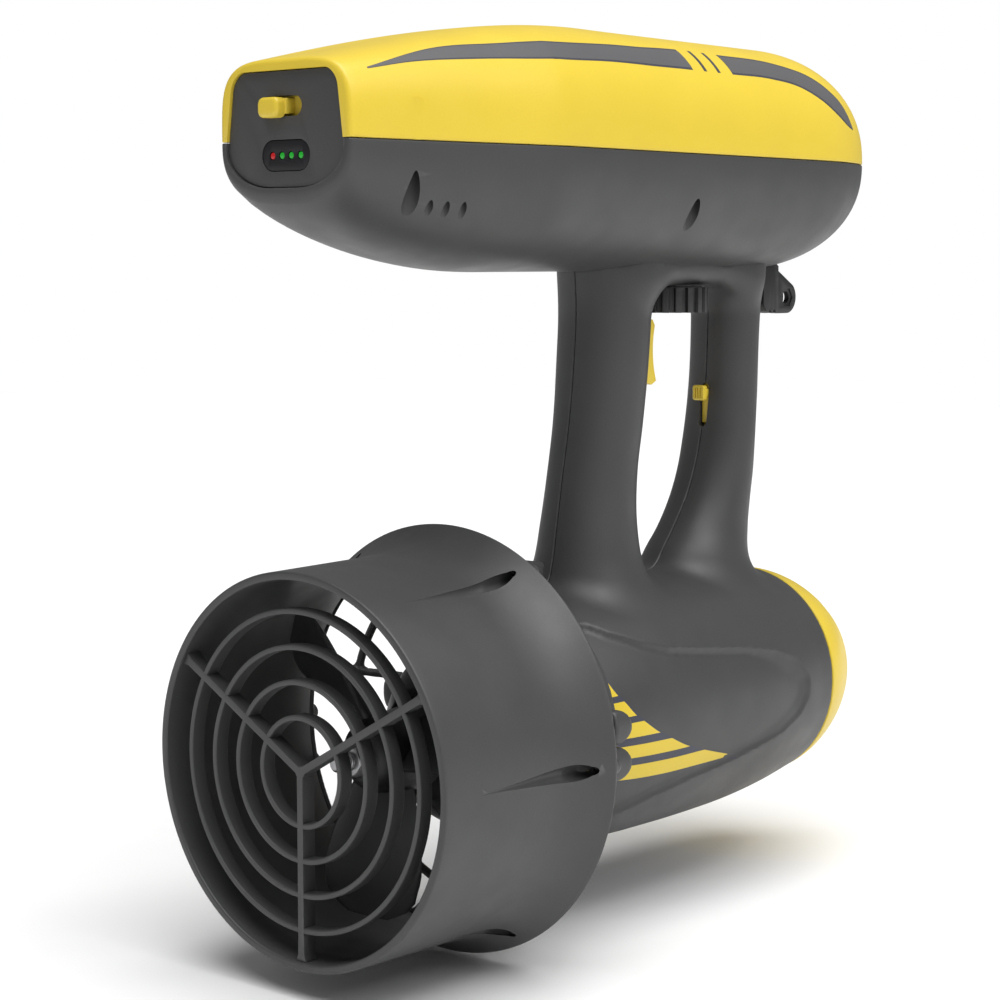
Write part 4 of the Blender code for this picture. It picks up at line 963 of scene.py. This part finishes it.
def flare(x, start, end, rim):
    u = max(x - (DUCT_FRONT - FLARE_LENGTH), 0.0) / FLARE_LENGTH
    return start + (end - start) * max(x, 0.0) / DUCT_FRONT + (rim - end) * u**2.4


def screw_channel():
    """A groove that starts as a thin line, widens along the flare and ends round at the screw."""
    rings = []
    for x in np.linspace(16, 74.6, 40):
        grown = (x - 16) / 56
        radius = 0.35 + 2.95 * smoothstep(grown) ** 0.9
        if x > 71.5:
            radius = 3.3 * math.sqrt(max(1 - ((x - 71.5) / 3.2) ** 2, 0.01))
        middle = flare(x, DUCT_R, 71.2, FLARE_R) + 0.25 - max(x - 58, 0) * 0.32
        middle = min(middle, CHANNEL_R + 0.2) if x > 40 else middle
        turns = [math.tau * i / 24 for i in range(24)]
        rings.append([(x, middle + radius * math.cos(t), radius * math.sin(t)) for t in turns])
    return lofted("channel", rings)


def make_duct():
    stations = np.concatenate([np.linspace(DUCT_REAR, 44, 12), np.linspace(46, DUCT_FRONT, 22)])
    outer = [(x, flare(x, DUCT_R, 71.2, FLARE_R)) for x in stations]
    inner = [(x, flare(x, DUCT_BORE, 67.4, 71.6)) for x in stations]
    loop = [(*outer[0], 0.9)] + [(*p, 0) for p in outer[1:-1]] + [(*outer[-1], 0.8), (*inner[-1], 0.8)]
    loop += [(*p, 0) for p in inner[-2:0:-1]] + [(*inner[0], 0.9)]
    duct = turned("duct_ring", rounded(loop, 0.9, 4))
    for number in range(6):
        turn = 60 * number
        hole = rod("hole", "X", (0, CHANNEL_R, 0), 60, 80, 1.6, 24)
        boolean(duct, [turn_about_x(screw_channel(), turn), turn_about_x(hole, turn)])
    return piece(duct, "root", DARK, "duct", sharp=30)


def folded(y, z, count, first):
    """Polar folding: the nearest of evenly spaced spokes, as (along it, across it)."""
    pitch = math.tau / count
    turn = np.arctan2(z, y) - math.radians(first)
    turn = (turn + pitch / 2) % pitch - pitch / 2
    radius = np.hypot(y, z)
    return radius * np.cos(turn), radius * np.sin(turn)


def make_outlet_grille():
    """Four round bars, three spokes that widen where they meet the duct, and a small hub."""
    hub = rounded([(0, 0.0, 0), (0, 2.2), (6, 2.2), (6, 0.0, 0)], 0.5)
    grille = turned("grille", hub, steps=48)
    for angle in (30, 150, 270):
        outline = [(-1.0, -1.35), (58, -1.35), (64.5, -1.45), (66.7, -2.3), (66.9, -2.3)]
        outline += [(u, -v) for u, v in reversed(outline)]
        spoke = bevelled(prism("spoke", [(u, v) for u, v in outline], "X", 0.0, 6.0), 0.45, 3, 50)
        boolean(grille, [turn_about_x(spoke, angle)], "UNION")
    for ring in (19.0, 31.3, 43.5, 56.0):
        bar = rounded([(0.1, ring - 1.0), (0.1, ring + 1.0), (5.9, ring + 1.0), (5.9, ring - 1.0)], 0.6, 4)
        boolean(grille, [turned("bar", bar)], "UNION")
    return piece(grille, "root", DARK, "outlet_grille", sharp=35)


def guard_distance(x, y, z):
    """Rim, twelve ribs, a hoop, the collar on the body, its two rounded side lugs and the fin."""
    radius = np.hypot(y, z)
    out, across = folded(y, z, 12, 15)
    rib = polygon_distance(x, out, [(77, 77), (77, 71.8), (108, 46.9), (110, 51), (94, 63.4), (80, 74.8)])
    rib = trimmed(rib, np.abs(across) - 1.35, 1.4)
    rim = slab(x, radius, (76.1, 71.6), (78.4, 78.4), 1.0)
    boss, aside = folded(y, z, 6, 0)
    boss = trimmed(np.hypot(boss - CHANNEL_R, aside) - 3.1, slab(x, 0 * x, (76.1, -9), (81.0, 9), 0.8), 0.8)
    hoop = slab(x, radius, (91, 62), (94, 65), 1.1)
    collar = slab(x, radius, (107, 46.6), (114, 51.4), 1.8)
    shape = joined(joined(joined(rim, boss, 1.0), rib, 2.2), joined(hoop, collar, 1.0), 2.2)
    for height in (6.8, -6.8):
        lug = np.sqrt(np.maximum(x - 106.5, 0) ** 2 + (z - height) ** 2) - 6.3
        lug = trimmed(lug, np.abs(np.abs(y) - 54.0) - 4.6 + 0.045 * (z - height) ** 2, 1.2)
        shape = joined(shape, trimmed(lug, 103.0 - x, 1.0), 1.0)
    fin = slab(x, z + 0.16 * np.maximum(x - 109, 0), (109, 46.8), (131, 64.0), 1.6)
    fin = trimmed(fin, np.abs(y) - 1.4, 1.2)
    return joined(shape, fin, 1.8)


def make_intake_guard():
    points, faces = skin(guard_distance, (76, -80, -80), (131, 80, 80), FINE_SKIN * 1.35)
    return piece(mesh_object("guard", points, faces), "root", DARK, "intake_guard", sharp=0)


# ---------------------------------------------------------------- drive


def blade_section(radius):
    """One section of a blade that stands along +Z: an aerofoil on the circle of its radius."""
    table = ((11, 20, 4.2, 42), (24, 27, 3.6, 36), (38, 34, 3.0, 30), (52, 36, 2.4, 25), (60, 30, 1.9, 22),
             (PROP_R, 16, 1.3, 21))
    chord, thickness, pitch = through(table, radius)
    turn, middle, ring = math.radians(pitch), (PROP_REAR + PROP_FRONT) / 2, []
    for step in range(28):
        around = math.tau * step / 28
        u = 0.5 * (1 - math.cos(around))
        camber = 0.05 * chord * 4 * u * (1 - u)
        half = thickness * (1.45 * math.sqrt(max(u, 0)) * (1 - u) + 0.08)
        place, off = (u - 0.5) * chord, camber + math.copysign(half, math.sin(around) or 1)
        x = middle + place * math.sin(turn) + off * math.cos(turn)
        y = place * math.cos(turn) - off * math.sin(turn)
        ring.append((x, y, math.sqrt(max(radius**2 - y**2, 0.0))))
    return ring


def make_propeller():
    hub = [(PROP_REAR, SHAFT_R + GAP), (PROP_REAR, 8.4), (PROP_REAR + 1.2, 10.5), (PROP_REAR + 3, 12.2),
           (PROP_REAR + 6, 13.4), (PROP_REAR + 9, 14), (PROP_FRONT - 0.6, 15.5), (PROP_FRONT, 15.0),
           (PROP_FRONT, SHAFT_R + GAP)]
    parts = [turned("hub", hub)]
    for number in range(3):
        radii = list(np.linspace(11, 60, 16)) + [61.5, 62.6, 63.2, 63.45]
        blade = lofted("blade", [blade_section(radius) for radius in radii])
        parts.append(turn_about_x(blade, 120 * number + FIRST_BLADE))
    piece(join("screw_propeller", parts), "drive", BLACK, "propeller", sharp=45)
    flats = arc((0, 0), 6.4, 0, 300, 5)
    nut = prism("nut", flats, "X", PROP_REAR - 7, PROP_REAR - GAP)
    ball = [(PROP_REAR - 7.6, 4.6), (PROP_REAR - 5.9, 6.6), (PROP_REAR, 6.6), (PROP_REAR, 0),
            (PROP_REAR - 7.6, 0)]
    boolean(nut, [turned("chamfer", ball)], "INTERSECT")
    boolean(nut, [rod("bore", "X", (0, 0, 0), 10, 40, SHAFT_R + GAP)])
    piece(bevelled(nut, 0.2), "drive", STEEL, "propeller_nut")
    shaft = [(17, 0), (17, 2.1), (17.9, 3)]
    for turn in range(9):
        x = 18.4 + 1.3 * turn
        shaft += [(x, 3.0), (x + 0.5, 2.55), (x + 0.9, 2.55), (x + 1.2, 3.0)]
    shaft += [(161.4, 3), (162, 2.4), (162, 0)]
    piece(turned("shaft", shaft, steps=48), "drive", STEEL, "motor_shaft")


# ---------------------------------------------------------------- controls


def make_trigger():
    x, z = TRIGGER_X, TRIGGER_Z
    outline = arc((x, z), 4.2, 60, 230, 16)
    outline += [(x + 4, z - 6), (x + 6.3, z - 14), (x + 7, z - 21.5), (x + 11.5, z - 22.6),
                (x + 14.6, z - 21.0)]
    front = through(((-21, 14.4), (-16, 13), (-10, 12.3), (-4, 12.5), (1, 13.4)),
                    np.linspace(-21, 1, 24))[:, 0]
    outline += [(x + a, z + b) for a, b in zip(front, np.linspace(-21, 1, 24))]
    outline += [(x + 12, z + 3.4), (x + 7, z + 4)]
    body = prism("trigger_body", outline, "Y", -TRIGGER_HALF, TRIGGER_HALF)
    boolean(body, [rod("bore", "Y", (x, 0, z), -10, 10, 1.8, 24)])
    bevelled(body, 1.1, 4, 40)
    piece(body, "trigger", YELLOW, "trigger")
    pin = rounded([(-12.6, 0), (-12.6, 1.5), (12.6, 1.5), (12.6, 0)], 0.3, 3)
    piece(turned("pin", [(w, max(r, 0)) for w, r in pin], "Y", (x, 0, z), 32), "root", STEEL, "trigger_pin")


def make_speed_selector():
    """A thumb slider with a ridged knob, its neck and the plate inside the strut."""
    top = SELECTOR_TOP
    outline = rounded([(-2.9, top - 6.3), (2.9, top - 6.3), (2.9, top), (-2.9, top)], 1.2)
    knob = prism("slider", outline, "X", SELECTOR_FACE - 4.1, SELECTOR_FACE - 1.3)
    bevelled(knob, 0.6, 4)
    for y in (-1.2, 0, 1.2):
        boolean(knob, [block("grip", (225, y - 0.3, top - 5.2), (SELECTOR_FACE - 3.7, y + 0.3, top - 1.1))])
    neck = block("neck", (234, -1.7, top - 4.8), (240, 1.7, top - 1.6), 0.3)
    fill = block("fill", (SELECTOR_FACE + 1.4, -1.7, top - 15.8), (SELECTOR_FACE + 3.4, 1.7, top - 3.0),
                 0.3)
    low = top - 18.3
    plate = block("plate", (SELECTOR_FACE + 3.2, -4.6, low), (SELECTOR_FACE + 5.0, 4.6, top + 2), 0.4)
    piece(join("slider_switch", [knob, neck, fill, plate]), "selector", YELLOW, "speed_selector")


def make_pod_lock_knob():
    """A hand knob with square ribs, a dished underside and a thin boss round its bore."""
    ribs = 20
    outline = []
    for number in range(ribs):
        middle = 360 * number / ribs
        for offset, radius in ((-5.6, KNOB_R - 1.6), (-4.2, KNOB_R), (4.2, KNOB_R), (5.6, KNOB_R - 1.6)):
            turn = math.radians(middle + offset)
            outline.append((KNOB_X + radius * math.cos(turn), radius * math.sin(turn)))
    knob = prism("hand_knob", outline, "Z", KNOB_LOW, KNOB_HIGH)
    boolean(knob, [rod("bore", "Z", (KNOB_X, 0, 0), KNOB_LOW + 2, KNOB_HIGH + 3, STUD_R + GAP),
                   rod("dish", "Z", (KNOB_X, 0, 0), KNOB_LOW - 2, KNOB_LOW + 1.2, 12.5)])
    bevelled(knob, 0.45, 3)
    boss = [(KNOB_HIGH - 0.5, STUD_R + GAP), (KNOB_HIGH - 0.5, 14.5), (KNOB_HIGH + 0.4, 14.5),
            (KNOB_HIGH + 0.7, 14.2),
            (KNOB_HIGH + 0.7, STUD_R + GAP)]
    knob = join("ribbed_knob", [knob, turned("boss", boss, "Z", (KNOB_X, 0, 0), 64)])
    piece(knob, "lock_knob", BLACK, "pod_lock_knob")
    stud = [(KNOB_LOW + 2.4, 0), (KNOB_LOW + 2.4, STUD_R), (172, STUD_R)]
    for turn in range(9):
        z = 172.4 + 1.3 * turn
        stud += [(z, STUD_R), (z + 0.5, STUD_R - 0.45), (z + 0.9, STUD_R - 0.45), (z + 1.2, STUD_R)]
    stud += [(185.5, STUD_R - 1.2), (185.5, 0)]
    piece(turned("stud", stud, "Z", (KNOB_X, 0, 0), 48), "lock_knob", STEEL, "knob_stud")


# ---------------------------------------------------------------- fasteners and carried-over parts


def make_screw(node, axis, centre, start, head, end, shank, radius):
    """A pan-head screw with a cross recess. It points from its head at one end to its tip."""
    rises = 1 if end > head else -1
    profile = [(start, 0), (start, shank * 0.6), (start + rises * shank, shank), (head, shank),
               (head, radius)]
    profile += [(end - rises * 0.9, radius), (end - rises * 0.35, radius * 0.86), (end, radius * 0.6),
                (end, 0)]
    screw = turned(f"{node}_body", profile, axis, centre, 40)
    for u, v in ((0.28, 0.62), (0.62, 0.28)):
        low, high = sorted((end - rises * 1.3, end + rises))
        half = [radius * u, radius * v]
        cross = [(-half[0], -half[1]), (half[0], -half[1]), (half[0], half[1]), (-half[0], half[1])]
        cutter = prism("cross", cross, axis, low, high)
        cutter.data.transform(Matrix.Translation(Vector(centre) * MM))
        boolean(screw, [cutter])
    piece(screw, "root", DARK_STEEL, node, sharp=30)


def make_screws():
    for number in range(6):
        turn = math.radians(60 * number)
        centre = (0.0, CHANNEL_R * math.cos(turn), CHANNEL_R * math.sin(turn))
        make_screw(f"duct_screw_{number + 1}", "X", centre, 80.0, 72.6, 70.6, 1.3, 2.2)
    for number, angle in enumerate(NOSE_SCREWS, 1):
        head = NOSE_JOINT + 6.4
        make_screw(f"nose_screw_{number}", "X", nose_point(angle), NOSE_JOINT - 8, head, head + 2.2, 1.5,
                   2.7)
    for number, (x, z, head) in enumerate(HOUSING_SCREWS, 1):
        make_screw(f"housing_screw_{number}", "Y", (x, 0, z), -8, head, head + 2.4, 1.5, 3.1)
    number = 1
    for x, y, head in POD_SCREWS:
        for side in (1, -1):
            make_screw(f"pod_screw_{number}", "Z", (x, side * y, 0), POD_SPLIT + 9, head + 2.3, head, 1.35,
                       2.6)
            number += 1


CARRIED = {
    "motor_can": CAN, "motor_stator": COPPER, "motor_rotor": STEEL, "rear_bearing": STEEL,
    "front_bearing": STEEL,
    "shaft_seal": RUBBER, "motor_controller": BOARD, "main_cable": RUBBER, "pod_seam_gasket": RUBBER,
    "nose_gasket": RUBBER, "battery_gasket": RUBBER, "trigger_spring": STEEL, "trigger_switch": BLACK,
    "selector_switch": BLACK,
}


def finish_carried_parts():
    for name, mat in CARRIED.items():
        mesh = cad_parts[name].data
        mesh.materials.clear()
        mesh.materials.append(mat)


# ---------------------------------------------------------------- stage, light and camera


def make_stage():
    floor = mesh_object("floor", [(-3000, -3000, 0), (3000, -3000, 0), (3000, 3000, 0), (-3000, 3000, 0)],
                        [(0, 1, 2, 3)])
    floor.location.z = CAD_BOX[0][2] - 0.0004
    pale = surface("pale_floor", "floor", (0.9, 0.9, 0.9), 0.9, grain=60, height=0.01, mottle=0.005, edge_highlight=0)
    floor.data.materials.append(pale)
    world = bpy.data.worlds.new("studio")
    world.use_nodes = True
    tree = world.node_tree
    soft = tree.nodes["Background"]
    soft.inputs["Color"].default_value = (1.0, 1.0, 1.0, 1.0)
    soft.inputs["Strength"].default_value = 0.24
    backdrop = tree.nodes.new("ShaderNodeBackground")
    backdrop.inputs["Color"].default_value = (1.0, 1.0, 1.0, 1.0)
    seen = tree.nodes.new("ShaderNodeLightPath")
    either = tree.nodes.new("ShaderNodeMixShader")
    tree.links.new(seen.outputs["Is Camera Ray"], either.inputs["Fac"])
    tree.links.new(soft.outputs["Background"], either.inputs[1])
    tree.links.new(backdrop.outputs["Background"], either.inputs[2])
    tree.links.new(either.outputs["Shader"], tree.nodes["World Output"].inputs["Surface"])
    bpy.context.scene.world = world


def make_light(name, place, size, power, target=(0.13, 0.0, 0.09)):
    light = bpy.data.lights.new(name, "AREA")
    light.shape = "RECTANGLE"
    light.size, light.size_y = size
    light.energy = power
    obj = bpy.data.objects.new(name, light)
    obj.location = place
    obj.rotation_euler = (Vector(target) - Vector(place)).to_track_quat("-Z", "Y").to_euler()
    bpy.context.scene.collection.objects.link(obj)


def make_overhead():
    """A very broad light from above, which keeps the floor evenly pale far out."""
    light = bpy.data.lights.new("overhead", "SUN")
    light.energy = 3.3
    light.angle = math.radians(60)
    obj = bpy.data.objects.new("overhead", light)
    obj.rotation_euler = Vector((0.1, 0.25, -1.0)).to_track_quat("-Z", "Y").to_euler()
    bpy.context.scene.collection.objects.link(obj)


def make_camera():
    camera = bpy.data.cameras.new("camera")
    camera.lens = 83.63
    camera.sensor_width = 36.0
    obj = bpy.data.objects.new("camera", camera)
    obj.location = (-0.5518, -0.5673, 0.1769)
    obj.rotation_euler = Vector((0.7533, 0.6495, -0.1037)).to_track_quat("-Z", "Y").to_euler()
    bpy.context.scene.collection.objects.link(obj)
    bpy.context.scene.camera = obj
    bpy.context.scene.view_settings.view_transform = "Standard"


make_camera()
make_pod_top_cover()
make_pod_lower_shell()
make_pod_stripes()
make_camera_mount()
make_battery_end_cap()
make_indicator()
make_battery_latch()
make_battery_inside()
make_housing()
make_body_stripes()
make_nose_cap()
make_duct()
make_outlet_grille()
make_intake_guard()
make_propeller()
make_trigger()
make_speed_selector()
make_pod_lock_knob()
make_screws()
finish_carried_parts()
make_stage()
make_overhead()
make_light("key", (0.35, -1.2, 1.1), (1.0, 0.8), 6.5)
